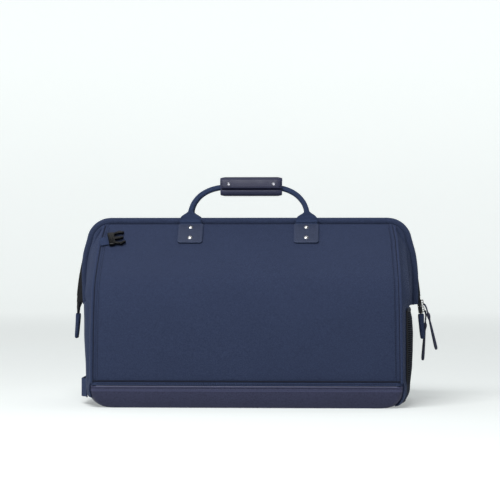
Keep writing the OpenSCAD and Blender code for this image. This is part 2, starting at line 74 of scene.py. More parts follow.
WRAP_TUCK = CORNER_R + WRAP - 2.5
WRAP_FLARE = 15.3
BASE_R = 28.0
BASE_TUCK = 30.0
STRAP_HALF = 17.8
PATCH_X = 97.0
PATCH_SIZE = (41, 46, 4.5)
PATCH_UP = -23
PATCH_OUT = 2.0
RIVET_UP = (-10, -35)
HANDLE_FOOT = Vector((0, -17.1, 303.5))
HANDLE_LEAN = math.atan2(12.1, 59.5)
HANDLE_LEN = 60.7
GRIP = (-48.0, 56.0)
GRIP_MID = 4.0
SNAP_X = 37.7
GRIP_CENTRE = Vector((0, 363))
FOLD_X = 38

SIDES = {"front": 1, "back": -1}
ENDS = {"right": 1, "left": -1}


# ---- Numbers and curves ----


def clamp(t):
    return max(0.0, min(1.0, t))


def ease(low, high, value):
    t = clamp((value - low) / (high - low))
    return t * t * (3 - 2 * t)


def between(pairs, at):
    """Straight-line reading of a short list of (at, value) pairs."""
    for (a, first), (b, second) in zip(pairs, pairs[1:]):
        if at <= b:
            return first + (second - first) * clamp((at - a) / (b - a))
    return pairs[-1][1]


def heading(points, i):
    """Unit direction of a polyline at its i-th point."""
    return (points[min(i + 1, len(points) - 1)] - points[max(i - 1, 0)]).normalized()


def resample(points, count):
    """count points, evenly spaced by length along a polyline."""
    points = [Vector(p) for p in points]
    along = [0.0]
    for a, b in zip(points, points[1:]):
        along.append(along[-1] + (b - a).length)
    out, k = [], 0
    for i in range(count):
        want = along[-1] * i / (count - 1)
        while k < len(points) - 2 and along[k + 1] < want:
            k += 1
        share = clamp((want - along[k]) / max(along[k + 1] - along[k], 1e-9))
        out.append(points[k].lerp(points[k + 1], share))
    return out


def smooth_curve(points, count):
    """count evenly spaced points on a smooth curve through the given ones."""
    points = [Vector(p) for p in points]
    dense = []
    for i in range(len(points) - 1):
        a, b, c, d = (points[min(max(i + k, 0), len(points) - 1)] for k in (-1, 0, 1, 2))
        for step in range(12):
            t = step / 12
            square, cube = 2 * a - 5 * b + 4 * c - d, 3 * b - a - 3 * c + d
            dense.append(0.5 * (2 * b + (c - a) * t + square * t**2 + cube * t**3))
    return resample(dense + [points[-1]], count)


def arc(centre, radius, start, end, count):
    """Points on a circle in a plane, from start to end in degrees."""
    turns = [math.radians(start + (end - start) * k / (count - 1)) for k in range(count)]
    return [(centre[0] + radius * math.cos(t), centre[1] + radius * math.sin(t)) for t in turns]


def rounded_box(width, height, radius, steps=4):
    """Closed section of a rectangle with round corners, about its middle."""
    x, y = width / 2 - radius, height / 2 - radius
    corners = (((x, y), 0), ((-x, y), 90), ((-x, -y), 180), ((x, -y), 270))
    return [p for middle, turn in corners for p in arc(middle, radius, turn, turn + 90, steps)]


def squarish(half_a, half_b, power, count=24):
    """Closed section between an ellipse, power 2, and a rectangle, a high power."""
    out = []
    for k in range(count):
        turn = 2 * math.pi * k / count
        c, s = math.cos(turn), math.sin(turn)
        out.append((
            half_a * math.copysign(abs(c) ** (2 / power), c),
            half_b * math.copysign(abs(s) ** (2 / power), s),
        ))
    return out


def wobble(point, size, amount):
    return amount * noise.noise(Vector(point) / size)


# ---- Meshes ----


def mesh_object(name, points, faces, uvs=None):
    """Object from points in millimetres. uvs holds one pair in metres for each face corner."""
    mesh = bpy.data.meshes.new(name)
    mesh.from_pydata([Vector(p) * MM for p in points], [], faces)
    if uvs:
        layer = mesh.uv_layers.new(name="UVMap")
        for loop, uv in zip(layer.data, uvs):
            loop.uv = uv
    mesh.validate()
    obj = bpy.data.objects.new(name, mesh)
    bpy.context.scene.collection.objects.link(obj)
    return obj


def grid(name, rows, ring=False, caps=False):
    """Surface through rows of points. ring joins each row's ends, and caps closes the end rows."""
    rows = [[Vector(p) for p in row] for row in rows]
    columns = len(rows[0])
    wide = columns if ring else columns - 1
    across = []
    for row in rows:
        at = [0.0]
        for k in range(wide):
            at.append(at[-1] + (row[(k + 1) % columns] - row[k]).length * MM)
        across.append([x - at[-1] / 2 for x in at])
    along = [0.0]
    for a, b in zip(rows, rows[1:]):
        along.append(along[-1] + (b[columns // 2] - a[columns // 2]).length * MM)
    faces, uvs = [], []
    for r in range(len(rows) - 1):
        for k in range(wide):
            near, far = r * columns, (r + 1) * columns
            nxt = (k + 1) % columns
            faces.append((near + k, near + nxt, far + nxt, far + k))
            uvs += [
                (across[r][k], along[r]), (across[r][k + 1], along[r]),
                (across[r + 1][k + 1], along[r + 1]), (across[r + 1][k], along[r + 1]),
            ]
    if caps:
        last = (len(rows) - 1) * columns
        faces.append(tuple(reversed(range(columns))))
        faces.append(tuple(range(last, last + columns)))
        uvs += [(0.0, 0.0)] * (2 * columns)
    return mesh_object(name, [p for row in rows for p in row], faces, uvs)


def sweep(name, path, section, side):
    """Section of (a, b) points drawn along a path, with a along side and b across it."""
    path = [Vector(p) for p in path]
    rows = []
    for i, p in enumerate(path):
        ahead = heading(path, i)
        across = ahead.cross(Vector(side)).normalized()
        level = across.cross(ahead).normalized()
        rows.append([p + level * a + across * b for a, b in section])
    return grid(name, rows, ring=True, caps=True)


def face_line(half_x, out, z, turn=1, count=41):
    """Level line of points on the front, or on the back with turn -1."""
    return [(-half_x + 2 * half_x * k / (count - 1), -(HALF_DEPTH + out) * turn, z) for k in range(count)]


def tube_faces(first, sides):
    """Faces of a small closed tube, whose four rings of points are numbered from first."""
    rings = 4
    faces = []
    for near in range(first, first + (rings - 1) * sides, sides):
        for k in range(sides):
            nxt = (k + 1) % sides
            faces.append((near + k, near + nxt, near + sides + nxt, near + sides + k))
    faces.append(tuple(first + k for k in reversed(range(sides))))
    faces.append(tuple(first + (rings - 1) * sides + k for k in range(sides)))
    return faces


def plate(name, outlines, thickness):
    """Flat plates of one thickness in the X-Y plane, from lists of outline points."""
    points, faces = [], []
    for outline in outlines:
        first, count = len(points), len(outline)
        points += [(x, y, 0) for x, y in outline] + [(x, y, thickness) for x, y in outline]
        faces.append(tuple(first + k for k in reversed(range(count))))
        faces.append(tuple(first + count + k for k in range(count)))
        faces += [
            (first + k, first + (k + 1) % count, first + count + (k + 1) % count, first + count + k)
            for k in range(count)
        ]
    return mesh_object(name, points, faces)


def lathe(name, profile, sides=28, caps=True):
    """Turned shape about Z from (radius, height) points."""
    turns = [2 * math.pi * k / sides for k in range(sides)]
    rows = [[(r * math.cos(t), r * math.sin(t), z) for t in turns] for r, z in profile]
    return grid(name, rows, ring=True, caps=caps)


def apply_all(obj):
    """Turns an object's modifiers into its mesh."""
    bpy.context.view_layer.update()
    shown = obj.evaluated_get(bpy.context.evaluated_depsgraph_get())
    mesh = bpy.data.meshes.new_from_object(shown)
    obj.modifiers.clear()
    obj.data = mesh
    return obj


def thicken(obj, thickness, offset=-1.0, inner=False):
    """Gives a sheet its thickness. inner puts the object's second material on the far side."""
    modifier = obj.modifiers.new("Thick", "SOLIDIFY")
    modifier.thickness = thickness * MM
    modifier.offset = offset
    modifier.use_quality_normals = True
    if inner:
        modifier.material_offset = 1
    return apply_all(obj)


def add_bevel(obj, width, segments=2, angle=35):
    modifier = obj.modifiers.new("Round", "BEVEL")
    modifier.width = width * MM
    modifier.segments = segments
    modifier.limit_method = "ANGLE"
    modifier.angle_limit = math.radians(angle)
    return obj


def bevel(obj, width, segments=2, angle=35):
    return apply_all(add_bevel(obj, width, segments, angle))


def tidy_normals(obj, sharp=38):
    """Faces outward, shaded smooth except over sharp edges."""
    work = bmesh.new()
    work.from_mesh(obj.data)
    bmesh.ops.recalc_face_normals(work, faces=work.faces)
    work.to_mesh(obj.data)
    work.free()
    obj.data.shade_smooth()
    obj.data.set_sharp_from_angle(angle=math.radians(sharp))
    return obj


def transform(obj, matrix):
    """Moves a mesh by a matrix given in millimetres."""
    scaled = matrix.copy()
    scaled.translation = matrix.translation * MM
    obj.data.transform(scaled)
    return obj


def flipped(obj, flip_x=False, flip_y=False):
    """Mirrors a mesh across the middle planes and turns its faces the right way."""
    obj.data.transform(Matrix.Diagonal((-1 if flip_x else 1, -1 if flip_y else 1, 1, 1)))
    if flip_x != flip_y:
        obj.data.flip_normals()
    return obj


def mirrored(obj, name, flip_x=False, flip_y=False):
    """Copy of an object, mirrored across the middle planes."""
    copy = obj.copy()
    copy.data = obj.data.copy()
    copy.name = name
    bpy.context.scene.collection.objects.link(copy)
    return flipped(copy, flip_x, flip_y)


def remove(*objects):
    for obj in objects:
        bpy.data.objects.remove(obj)


def joined(objects, name):
    """One object out of several."""
    bpy.ops.object.select_all(action="DESELECT")
    for obj in objects:
        obj.select_set(True)
    bpy.context.view_layer.objects.active = objects[0]
    bpy.ops.object.join()
    objects[0].name = name
    return objects[0]


def stitches(name, path, up, pitch=3.6, length=2.5):
    """A row of thread stitches, each a small capsule that lies on the path."""
    radius, sides = 0.36, 5
    up = Vector(up).normalized()
    path = [Vector(p) for p in path]
    total = sum((b - a).length for a, b in zip(path, path[1:]))
    count = max(2, int(total / pitch))
    even = resample(path, count + 1)
    points, faces = [], []
    for a, b in zip(even, even[1:]):
        ahead = (b - a).normalized()
        across = ahead.cross(up).normalized()
        middle = (a + b) / 2
        faces += tube_faces(len(points), sides)
        for step, scale in ((-0.5, 0.35), (-0.32, 1.0), (0.32, 1.0), (0.5, 0.35)):
            for turn in (2 * math.pi * k / sides for k in range(sides)):
                points.append(
                    middle + ahead * (length * step)
                    + up * (radius * scale * math.sin(turn)) + across * (radius * scale * math.cos(turn))
                )
    return tidy_normals(mesh_object(name, points, faces), 60)


# ---- Materials ----


def node(tree, kind, inputs=None, **settings):
    made = tree.nodes.new("ShaderNode" + kind)
    for key, value in settings.items():
        setattr(made, key, value)
    for key, value in (inputs or {}).items():
        if isinstance(value, bpy.types.NodeSocket):
            tree.links.new(value, made.inputs[key])
        else:
            made.inputs[key].default_value = value
    return made


def new_material(name, **sockets):
    made = bpy.data.materials.new(name)
    made.use_nodes = True
    shader = made.node_tree.nodes["Principled BSDF"]
    for key, value in sockets.items():
        shader.inputs[key.replace("_", " ")].default_value = value
    return made, made.node_tree, shader


def mixed(tree, factor, dark, light):
    """Colour between two colours or sockets."""
    mix = node(tree, "Mix", data_type="RGBA")
    for socket, value in ((mix.inputs["Factor"], factor), (mix.inputs[6], dark), (mix.inputs[7], light)):
        if isinstance(value, bpy.types.NodeSocket):
            tree.links.new(value, socket)
        else:
            socket.default_value = (*value, 1) if isinstance(value, tuple) else value
    return mix.outputs[2]


def scaled(tree, value, low, high):
    """A socket from 0 to 1 spread over a range."""
    return node(tree, "MapRange", {"Value": value, "To Min": low, "To Max": high}).outputs[0]


def patchy(tree, size, detail=3.0):
    """Noise in the object's own space, with features of about size metres."""
    place = node(tree, "TexCoord").outputs["Object"]
    return node(tree, "TexNoise", {"Vector": place, "Scale": 1 / size, "Detail": detail}).outputs[0]


def finish_surface(tree, shader, colour, rough, height, distance):
    """Links colour, roughness and bump. distance is the bump's depth in metres."""
    tree.links.new(colour, shader.inputs["Base Color"])
    tree.links.new(rough, shader.inputs["Roughness"])
    bump = node(tree, "Bump", {"Height": height, "Distance": distance, "Strength": 1.0})
    tree.links.new(bump.outputs[0], shader.inputs["Normal"])


def woven(name, dark, light, thread=0.0011, rough=0.82, depth=0.00022, rib=False, sheen=0.08):
    """Cloth of crossing threads laid out by the UVs. rib makes the weft stand up in cords."""
    made, tree, shader = new_material(
        name, Sheen_Weight=sheen, Sheen_Roughness=0.45, Sheen_Tint=(0.45, 0.55, 0.9, 1),
        Specular_IOR_Level=0.1,
    )
    uv = node(tree, "TexCoord").outputs["UV"]
    period = 0.3142 / thread
    warp = node(tree, "TexWave", {"Vector": uv, "Scale": period, "Distortion": 0.4}, bands_direction="X")
    weft = node(tree, "TexWave", {"Vector": uv, "Scale": period * (0.7 if rib else 1)}, bands_direction="Y")
    checks = node(tree, "TexChecker", {"Vector": uv, "Scale": 1 / thread})
    share = 0.85 if rib else checks.outputs["Fac"]
    cloth = node(tree, "Mix", {"Factor": share, "A": warp.outputs["Fac"], "B": weft.outputs["Fac"]})
    threads = cloth.outputs[0]
    melange = patchy(tree, 0.0022, 3.0)
    both = node(tree, "Math", {0: threads, 1: melange}, operation="MULTIPLY").outputs[0]
    colour = mixed(tree, scaled(tree, both, 0.0, 1.6), dark, light)
    worn = mixed(tree, scaled(tree, patchy(tree, 0.09), 0.0, 0.22), colour, tuple(c * 0.72 for c in dark))
    finish_surface(tree, shader, worn, scaled(tree, melange, rough - 0.08, rough + 0.08), threads, depth)
    return made


def leather(name, dark, light, grain=0.0016, rough=0.42, coat=0.12):
    """Grained leather: pebbles, long creases, and corners rubbed lighter."""
    made, tree, shader = new_material(name, Coat_Weight=coat, Coat_Roughness=0.35, Specular_IOR_Level=0.22)
    place = node(tree, "TexCoord").outputs["Object"]
    pebbles = node(
        tree, "TexVoronoi", {"Vector": place, "Scale": 1 / grain}, feature="SMOOTH_F1"
    ).outputs["Distance"]
    creases = patchy(tree, 0.012, 5.0)
    height = node(
        tree, "Math", {0: pebbles, 1: scaled(tree, creases, -0.5, 0.5)}, operation="ADD"
    ).outputs[0]
    edge = node(tree, "NewGeometry").outputs["Pointiness"]
    rubbed = node(
        tree, "MapRange", {"Value": edge, "From Min": 0.52, "From Max": 0.6, "To Max": 0.55}
    ).outputs[0]
    colour = mixed(tree, scaled(tree, pebbles, 0.0, 1.0), light, dark)
    cloudy = mixed(tree, scaled(tree, patchy(tree, 0.06), 0.0, 0.35), colour, tuple(c * 0.7 for c in dark))
    worn = mixed(tree, rubbed, cloudy, tuple(min(1.0, c * 1.9) for c in light))
    finish_surface(tree, shader, worn, scaled(tree, creases, rough - 0.1, rough + 0.14), height, 0.0003)
    return made


def moulded(name, dark, light, size=0.0009, rough=0.4, depth=0.00004, metal=0.0, coat=0.0):
    """Plastic or metal with a fine surface texture."""
    made, tree, shader = new_material(
        name, Metallic=metal, Coat_Weight=coat, Specular_IOR_Level=0.5 if metal else 0.22
    )
    fine = patchy(tree, size)
    cloud = patchy(tree, 0.02)
    colour = mixed(tree, cloud, dark, light)
    finish_surface(tree, shader, colour, scaled(tree, cloud, rough - 0.07, rough + 0.1), fine, depth)
    return made


NAVY = woven("navy_fabric", (0.015, 0.021, 0.048), (0.044, 0.061, 0.122))
NAVY_BAND = woven("navy_band", (0.016, 0.023, 0.054), (0.048, 0.067, 0.138), thread=0.0009)
WEBBING = woven(
    "navy_webbing", (0.012, 0.019, 0.046), (0.040, 0.059, 0.125), thread=0.0015, depth=0.0004, rib=True
)
ZIP_TAPE = woven(
    "zip_tape", (0.006, 0.006, 0.007), (0.030, 0.030, 0.034), thread=0.0008, rib=True, sheen=0.1
)
LINING = woven(
    "lining", (0.022, 0.027, 0.045), (0.055, 0.065, 0.100), thread=0.0005, rough=0.7, depth=0.0001
)
MESH = woven("mesh", (0.012, 0.012, 0.011), (0.045, 0.044, 0.041), thread=0.0006, sheen=0.15)
ELASTIC = woven(
    "elastic", (0.010, 0.010, 0.011), (0.035, 0.035, 0.037), thread=0.0012, rib=True, depth=0.0003
)
BOARD = woven("board_cover", (0.018, 0.020, 0.028), (0.045, 0.048, 0.060), thread=0.0008)
LEATHER = leather("navy_leather", (0.012, 0.013, 0.034), (0.034, 0.037, 0.080), rough=0.48, coat=0.03)
PATCH_LEATHER = leather("patch_leather", (0.012, 0.017, 0.040), (0.034, 0.046, 0.088), rough=0.6, coat=0.0)
# Lighter, glossier leather for a thin line on the base's rolled top edge: a painted highlight for the
# edge's glint.
PAINTED_HIGHLIGHT_LEATHER = leather("painted_edge_highlight", (0.045, 0.050, 0.085), (0.085, 0.090, 0.140), rough=0.4, coat=0.2)
GRIP_LEATHER = leather(
    "grip_leather", (0.009, 0.010, 0.028), (0.026, 0.028, 0.064), grain=0.0012, coat=0.06
)
THREAD = moulded(
    "thread", (0.030, 0.040, 0.085), (0.065, 0.080, 0.140), size=0.0004, rough=0.7, depth=0.0001
)
# Near-black thread for the dark stitches; the same material also paints the shade in seam creases as thin
# dark tubes.
DARK_THREAD_AND_SHADE = moulded("dark_thread_and_painted_shade", (0.004, 0.006, 0.014), (0.010, 0.013, 0.028), size=0.0004, rough=0.85)
COIL = moulded("zip_coil", (0.008, 0.008, 0.009), (0.022, 0.022, 0.024), rough=0.35)
BLACK_METAL = moulded("black_metal", (0.006, 0.006, 0.007), (0.018, 0.018, 0.020), rough=0.34, coat=0.15)
NICKEL = moulded("nickel", (0.42, 0.42, 0.43), (0.62, 0.62, 0.63), size=0.0006, rough=0.26, metal=1.0)
SNAP_METAL = moulded(
    "dull_nickel", (0.16, 0.16, 0.18), (0.30, 0.30, 0.33), size=0.0006, rough=0.34, metal=1.0
)
STEEL = moulded("steel", (0.30, 0.31, 0.33), (0.45, 0.46, 0.48), size=0.0012, rough=0.38, metal=1.0)
PLASTIC = moulded("black_plastic", (0.0008, 0.0008, 0.001), (0.002, 0.002, 0.0024), rough=0.25)
RUBBER = moulded("navy_rubber", (0.012, 0.014, 0.030), (0.030, 0.034, 0.062), rough=0.5, depth=0.00008)


def dress(obj, materials, replaces=()):
    obj.data.materials.clear()
    for one in materials if isinstance(materials, (list, tuple)) else [materials]:
        obj.data.materials.append(one)
    if replaces:
        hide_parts(*replaces)
    return obj


def fixed(obj, body, materials, replaces=(), sharp=60):
    """A piece that rides one body."""
    tidy_normals(obj, sharp)
    dress(obj, materials, replaces)
    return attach(obj, body)


def lined(sheet, thickness, offset=-1.0):
    """Fabric sheet given its thickness, with the lining on its far side."""
    sheet.data.materials.append(NAVY)
    sheet.data.materials.append(LINING)
    return thicken(sheet, thickness, offset, inner=True)


def bending(obj, materials, replaces=()):
    """A piece of fabric between the body and one half of the mouth, shaded, dressed and baked in place."""
    obj.data.shade_smooth()
    obj.data.set_sharp_from_angle(angle=math.radians(50))
    dress(obj, materials, replaces)
    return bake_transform(obj)


# ---- Shell ----

WALL = [
    (-118.6, 37.5), (-119.8, 44), (-121.2, 62), (-122.0, 95), (-122.0, 130), (-120.4, 160),
    (-115.4, 186), (-106.5, 207), (-92.4, 223.8), (-72, 243.2), (-44, 269.9), (-24, 289.2), (-12.6, 300.3),
]


def half_width(z):
    return between([(60, CORNER_X + 1.2), (200, 250.8), (240, 249.6), (275, 248.4), (300, 244.4)], z)


def wall_x(y):
    """Outside of a full, rounded end, right of the middle."""
    return CORNER_X + END_BULGE * (1 - min(abs(y / HALF_DEPTH), 1) ** BULGE_POWER)


def wall_normals(profile):
    """Outward direction in Y and Z at each point of a front profile that runs upward."""
    out = []
    for i in range(len(profile)):
        run = heading(profile, i)
        out.append(Vector((-run.y, run.x)))
    return out


def shell_profile(count=72):
    profile = smooth_curve(WALL, count)
    return list(zip(profile, wall_normals(profile)))


def wrap_edge(width, y, z, depth):
    """X of the shell where it turns the corner: flat against the end low down, flared like a wing above."""
    low = wall_x(y) + 0.6
    share = (depth - CORNER_R) / WRAP
    high = width + WRAP_FLARE * share + 1.2 * math.sin(math.pi * clamp(share))
    return low + (high - low) * ease(158, 192, z)


def shell_row(place, normal):
    """Right half of a row across the shell, to the edge of the wrap: X, place, and share of the crown."""
    width = half_width(place.y)
    row = [((width - 12) * k / 20, 0.0) for k in range(21)]
    row += [
        (width - 9.6, 0.2), (width - 8.6, 1.0), (width - 8.0, 1.1), (width - 7.0, 0.2), (width - 5.0, 0.0)
    ]
    for turn in (0, 22.5, 45, 67.5, 90):
        t = math.radians(turn)
        row.append((width - CORNER_R + CORNER_R * math.sin(t), CORNER_R - CORNER_R * math.cos(t)))
    row += [(None, CORNER_R + d) for d in (2.5, 6.0, 10.0, 14.0, WRAP)]
    limit = max((place.x + 2.0) / min(normal.x, -0.05), 0.0)
    out = []
    for x, depth in row:
        depth = min(depth, limit)
        spot = place - normal * depth
        if x is None:
            x = wrap_edge(width, spot.x, place.y, depth)
        out.append((x, spot, max(0.0, 1 - (x / (width - 9)) ** 4)))
    return out


def front_shell():
    rows = []
    for place, normal in shell_profile():
        z = place.y
        crown = CROWN * math.sin(math.pi * clamp((z - 40) / 215)) ** 0.7
        slack = 1.0 - ease(248, 262, z)
        half = shell_row(place, normal)
        points = []
        for x, spot, share in [(-x, spot, share) for x, spot, share in reversed(half[1:])] + half:
            puff = crown * share + slack * share * (wobble((x, 0, z), 95, 1.1) + wobble((x, 9, z), 34, 0.3))
            points.append((x, spot.x + normal.x * puff, spot.y + normal.y * puff))
        rows.append(points)
    return lined(grid("front_shell", rows), 2.2)


def corner_path(out, degrees, low=38.0, high=298.0, inset=0.0):
    """Line up the front right corner of the shell: degrees round its rounding, or inset on its face."""
    turn = math.radians(degrees)
    path = []
    for place, normal in shell_profile():
        if low <= place.y <= high:
            x = half_width(place.y) - CORNER_R + (CORNER_R + out) * math.sin(turn) - inset
            spot = place - normal * (CORNER_R - (CORNER_R + out) * math.cos(turn))
            path.append((x, spot.x, spot.y))
    return path


def build_shell():
    shell = front_shell()
    piping = sweep("front_right_piping", corner_path(1.0, 36), squarish(2.3, 2.3, 2, 12), (1, 0, 0))
    tidy_normals(piping, 60)
    # Thin dark tubes on the corner's rounding, either side of the piping, paint the shade that falls in the
    # creases by the seam.
    shade_line = squarish(0.75, 0.75, 2, 8)
    creases = [sweep("crease", corner_path(0.0, turn), shade_line, (1, 0, 0)) for turn in (-2, 76)]
    crease = tidy_normals(joined(creases, "front_right_crease"), 60)
    seam = stitches("front_right_seam", corner_path(0.2, 0, 46, 297, 7.6), (0, -1, 0.4))
    for half in SIDES:
        back = half == "back"
        lower, upper = half + "_lower_panel", half + "_upper_panel"
        body = mirrored(shell, half + "_panel", flip_y=back)
        bending(body, [NAVY, LINING], (lower, upper))
        for end in ENDS:
            left = end == "left"
            cord = mirrored(piping, f"{half}_{end}_piping", left, back)
            bending(cord, NAVY_BAND, (half + "_piping",))
            for row, kind in ((seam, "seam"), (crease, "crease")):
                thread = mirrored(row, f"{half}_{end}_{kind}", left, back)
                bending(thread, DARK_THREAD_AND_SHADE)
    remove(shell, piping, crease, seam)


# ---- Fin: band, tape, coil ----

FIN_LEG = [(293.6, 156), (293.0, 172), (291.6, 191), (288.4, 215), (283.8, 238), (279.2, 258)]


def fin_outline(low_z):
    """The ridge's outer edge in X and Z with its outward direction, from the right foot to the left."""
    leg = smooth_curve(FIN_LEG + arc((FIN_X, FIN_Z), FIN_R, 8, 90, 8), 90)
    right = resample([p for p in leg if p.y >= low_z], 44)
    top = [Vector((FIN_X * (1 - 2 * k / 40), RIDGE_Z)) for k in range(1, 40)]
    line = right + top + [Vector((-p.x, p.y)) for p in reversed(right)]
    out = []
    for i, p in enumerate(line):
        run = heading(line, i)
        out.append((p, Vector((run.y, -run.x))))
    return out


def fin_sweep(name, section, low_z):
    """Section drawn along the ridge. Its first number is measured out of the edge, its second is Y."""
    rows = []
    for p, out in fin_outline(low_z):
        rows.append([(p.x + out.x * n, y, p.y + out.y * n) for n, y in section(p.x, p.y)])
    return grid(name, rows, ring=True, caps=True)


def leg_draw(x, z):
    """How far the gathered band runs inside the tape's edge near the foot of a leg: more on the left."""
    draw = between([(165, 12.0), (172, 11.5), (185, 10.0), (200, 8.0), (215, 5.0), (235, 1.6), (250, 0)], z)
    return draw * (1.0 if x < 0 else 0.7)


def zip_inset(x, z):
    """How far the zip runs in from the edge: on the right leg it keeps to the sliders' straight line."""
    straight = between(
        [(160, 1.6), (175, 2.0), (191, 2.2), (215, 2.4), (238, 2.2), (258, 1.2), (277, 0)], z
    )
    return 2.2 + straight * clamp((x - 150) / 60) - 1.4 * clamp((-x - 200) / 60)


BAND_SECTION = [
    (-0.3, -5.3), (0.0, -7.2), (-0.5, -9.6), (-2.1, -11.3), (-4.5, -12.1), (-6.9, -12.0), (-8.9, -11.3),
    (-10.1, -10.5), (-10.7, -10.2), (-11.3, -10.6), (-12.5, -11.0), (-13.5, -10.6), (-14.1, -9.6),
    (-14.1, -6.5), (-12.8, -5.2), (-6.3, -4.9),
]


def band_section(x, z):
    """Channel over the wire, gathered a little along the legs and wider there for the straight wire."""
    gather = 1 + 0.05 * math.sin(z * 0.55) * (1 - ease(250, 275, z))
    extra = between([(172, 3.5), (200, 7), (228, 8), (258, 3), (272, 0)], z)
    draw = leg_draw(x, z)
    return [(n - draw - (extra if n < -12 else 0), -4.9 + (y + 4.9) * gather) for n, y in BAND_SECTION]


def tape_section(x, z):
    """Tape from the coil to the band. On the left leg, past the sliders' reach, it fans out flat."""
    edge = -zip_inset(x, z)
    fan = clamp((-x - 200) / 60) * (1 - ease(235, 275, z))
    wave = 0.35 * math.sin(z * 0.21) * fan
    close = [
        (edge, -2.5), (edge, -4.8), (edge - 12, -4.8), (edge - 12, -4.0), (edge - 1, -4.0),
        (edge - 1, -2.5)
    ]
    flat = [
        (edge, -1.2 + wave), (edge, -2.2 + wave), (edge - 14, -4.8), (edge - 14, -4.0), (edge - 7, -2.6),
        (edge - 1, -1.2)
    ]
    return [(a + (c - a) * fan, b + (d - b) * fan) for (a, b), (c, d) in zip(close, flat)]


def coil_teeth(name, shift):
    """Coil turns as small hooked teeth, each reaching past the middle between two of the other half."""
    path = [p - out * (zip_inset(p.x, p.y) + 0.5) for p, out in fin_outline(HINGE_Z + 3)]
    length = sum((b - a).length for a, b in zip(path, path[1:]))
    even = resample(path, int(length / 2.4))
    points, faces = [], []
    for i in range(1, len(even) - 1):
        run = (even[i + 1] - even[i - 1]).normalized()
        out = Vector((run.y, -run.x))
        middle = even[i] + run * shift
        faces += tube_faces(len(points), 4)
        for y, tall, wide in ((-2.9, 1.0, 0.55), (-1.4, 1.25, 0.5), (-0.2, 1.3, 0.62), (0.35, 0.9, 0.5)):
            for a, b in ((tall, -wide), (tall, wide), (-tall, wide), (-tall, -wide)):
                spot = middle + out * a + run * b
                points.append((spot.x, y, spot.y))
    return mesh_object(name, points, faces)


def band_stitch_path():
    line = []
    for p, out in fin_outline(HINGE_Z - 4):
        spot = p - out * (10.7 + leg_draw(p.x, p.y))
        line.append((spot.x, -10.35, spot.y))
    return line


def build_fins():
    band = fin_sweep("band", band_section, HINGE_Z - 9)
    tape = fin_sweep("tape", tape_section, HINGE_Z - 8)
    thread = stitches("band_thread", band_stitch_path(), (0, -1, 0), pitch=3.2)
    for half in SIDES:
        back = half == "back"
        mouth = half + "_mouth"
        piece = mirrored(band, half + "_band", flip_y=back)
        fixed(piece, mouth, NAVY, (half + "_mouth_band",), sharp=70)
        piece = mirrored(tape, half + "_tape", flip_y=back)
        fixed(piece, mouth, ZIP_TAPE, (half + "_zip_tape",), sharp=38)
        piece = mirrored(thread, half + "_band_thread", flip_y=back)
        fixed(piece, mouth, DARK_THREAD_AND_SHADE)
        piece = flipped(coil_teeth(half + "_coil", 0.6 if back else -0.6), flip_y=back)
        fixed(piece, mouth, COIL, (half + "_zip_coil",), sharp=30)
    remove(band, tape, thread)


# ---- Wings: the fabric from the shell's corner out to the fin ----


def wing_rows():
    count, across = 32, 20
    fin_line = [p - out * (11.4 + leg_draw(p.x, p.y)) for p, out in fin_outline(HINGE_Z - 8)]
    fin_line = resample([p for p in fin_line if p.x >= FIN_X - 0.01], count)
    spots = resample([place for place, _ in shell_profile(160) if place.y >= 164], count)
    normals = wall_normals(spots)
    foot = [(Vector((0, -6.0)), 1.0), (Vector((0, -4.0)), 0.7), (Vector((0, -1.6)), 0.25)]
    rows = [
        wing_row(spots[0] + drop, normals[0], fin_line[0] + drop * 0.4, across, closing) for drop,
        closing in foot
    ]
    return rows + [wing_row(*line, across, 0.0) for line in zip(spots, normals, fin_line)]


def wing_row(spot, normal, fin, across, closing):
    """Line of the wing from under the shell's wrap to the fin. closing draws its foot in to the end."""
    limit = max((spot.x + 3.0) / min(normal.x, -0.05), 0.0)
    edge = spot - normal * min(WRAP_TUCK, limit)
    start = Vector((wrap_edge(half_width(spot.y), edge.x, spot.y, WRAP_TUCK) - 8.0, edge.x, edge.y))
    end = Vector((fin.x - (fin.x - 263.5) * closing, -9.7, fin.y))
    reach = (end - start).length
    first = start + Vector((0.02, -normal.x, -normal.y)).normalized() * reach * 0.5
    second = end + Vector((-0.03, -0.42, 0)) * reach * (1 - closing)
    points = []
    for k in range(across):
        t = k / (across - 1)
        p = (1 - t) ** 3 * start + 3 * (1 - t) ** 2 * t * first + 3 * (1 - t) * t**2 * second + t**3 * end
        fold = math.sin(math.pi * t) * (1 - closing) * clamp(reach / 60)
        p.x += fold * (wobble(p, 30, 1.8) + wobble(p, 70, 2.6))
        points.append(p)
    return points


def build_wings():
    wing = lined(grid("wing", wing_rows()), 1.4, offset=1.0)
    for half in SIDES:
        for end in ENDS:
            piece = mirrored(wing, f"{half}_{end}_wing", end == "left", half == "back")
            bending(piece, [NAVY, LINING], (f"{half}_{end}_gusset",))
    remove(wing)


# ---- Lower body ----


def plan(end_inset, front_inset):
    """Closed plan of the body: flat front and back, rounded corners, bulged ends."""
    x0, y0, r, steps = CORNER_X - end_inset, HALF_DEPTH - front_inset, 6.0, 26
    quarter = [((x0 - r) * k / 12, -y0) for k in range(12)]
    quarter += arc((x0 - r, -(y0 - r)), r, -90, 0, 6)
    quarter += [(x0, -(y0 - r) * (1 - k / steps)) for k in range(1, steps)]
    quarter = [
        (x + (END_BULGE * (1 - abs(y / y0) ** BULGE_POWER) if x > x0 - r else 0.0), y) for x, y in quarter
    ]
    right = quarter + [(x0 + END_BULGE, 0.0)] + [(x, -y) for x, y in reversed(quarter[1:])]
    return right + [(-x, -y) for x, y in right[:-1]]


def plan_ring(z, end_inset, front_inset):
    return [(x, y, z) for x, y in plan(end_inset, front_inset)]


def face_cords(name, cords):
    """Thin lines along the front and back. Each is (half length, out, Z, half height, half thickness)."""
    made = []
    for turn in (1, -1):
        for half_x, out, z, tall, thick in cords:
            made.append(sweep(
                "cord", face_line(half_x, out, z, turn), squarish(tall, thick, 2, 8), (0, 1, 0)
            ))
    return joined(made, name)


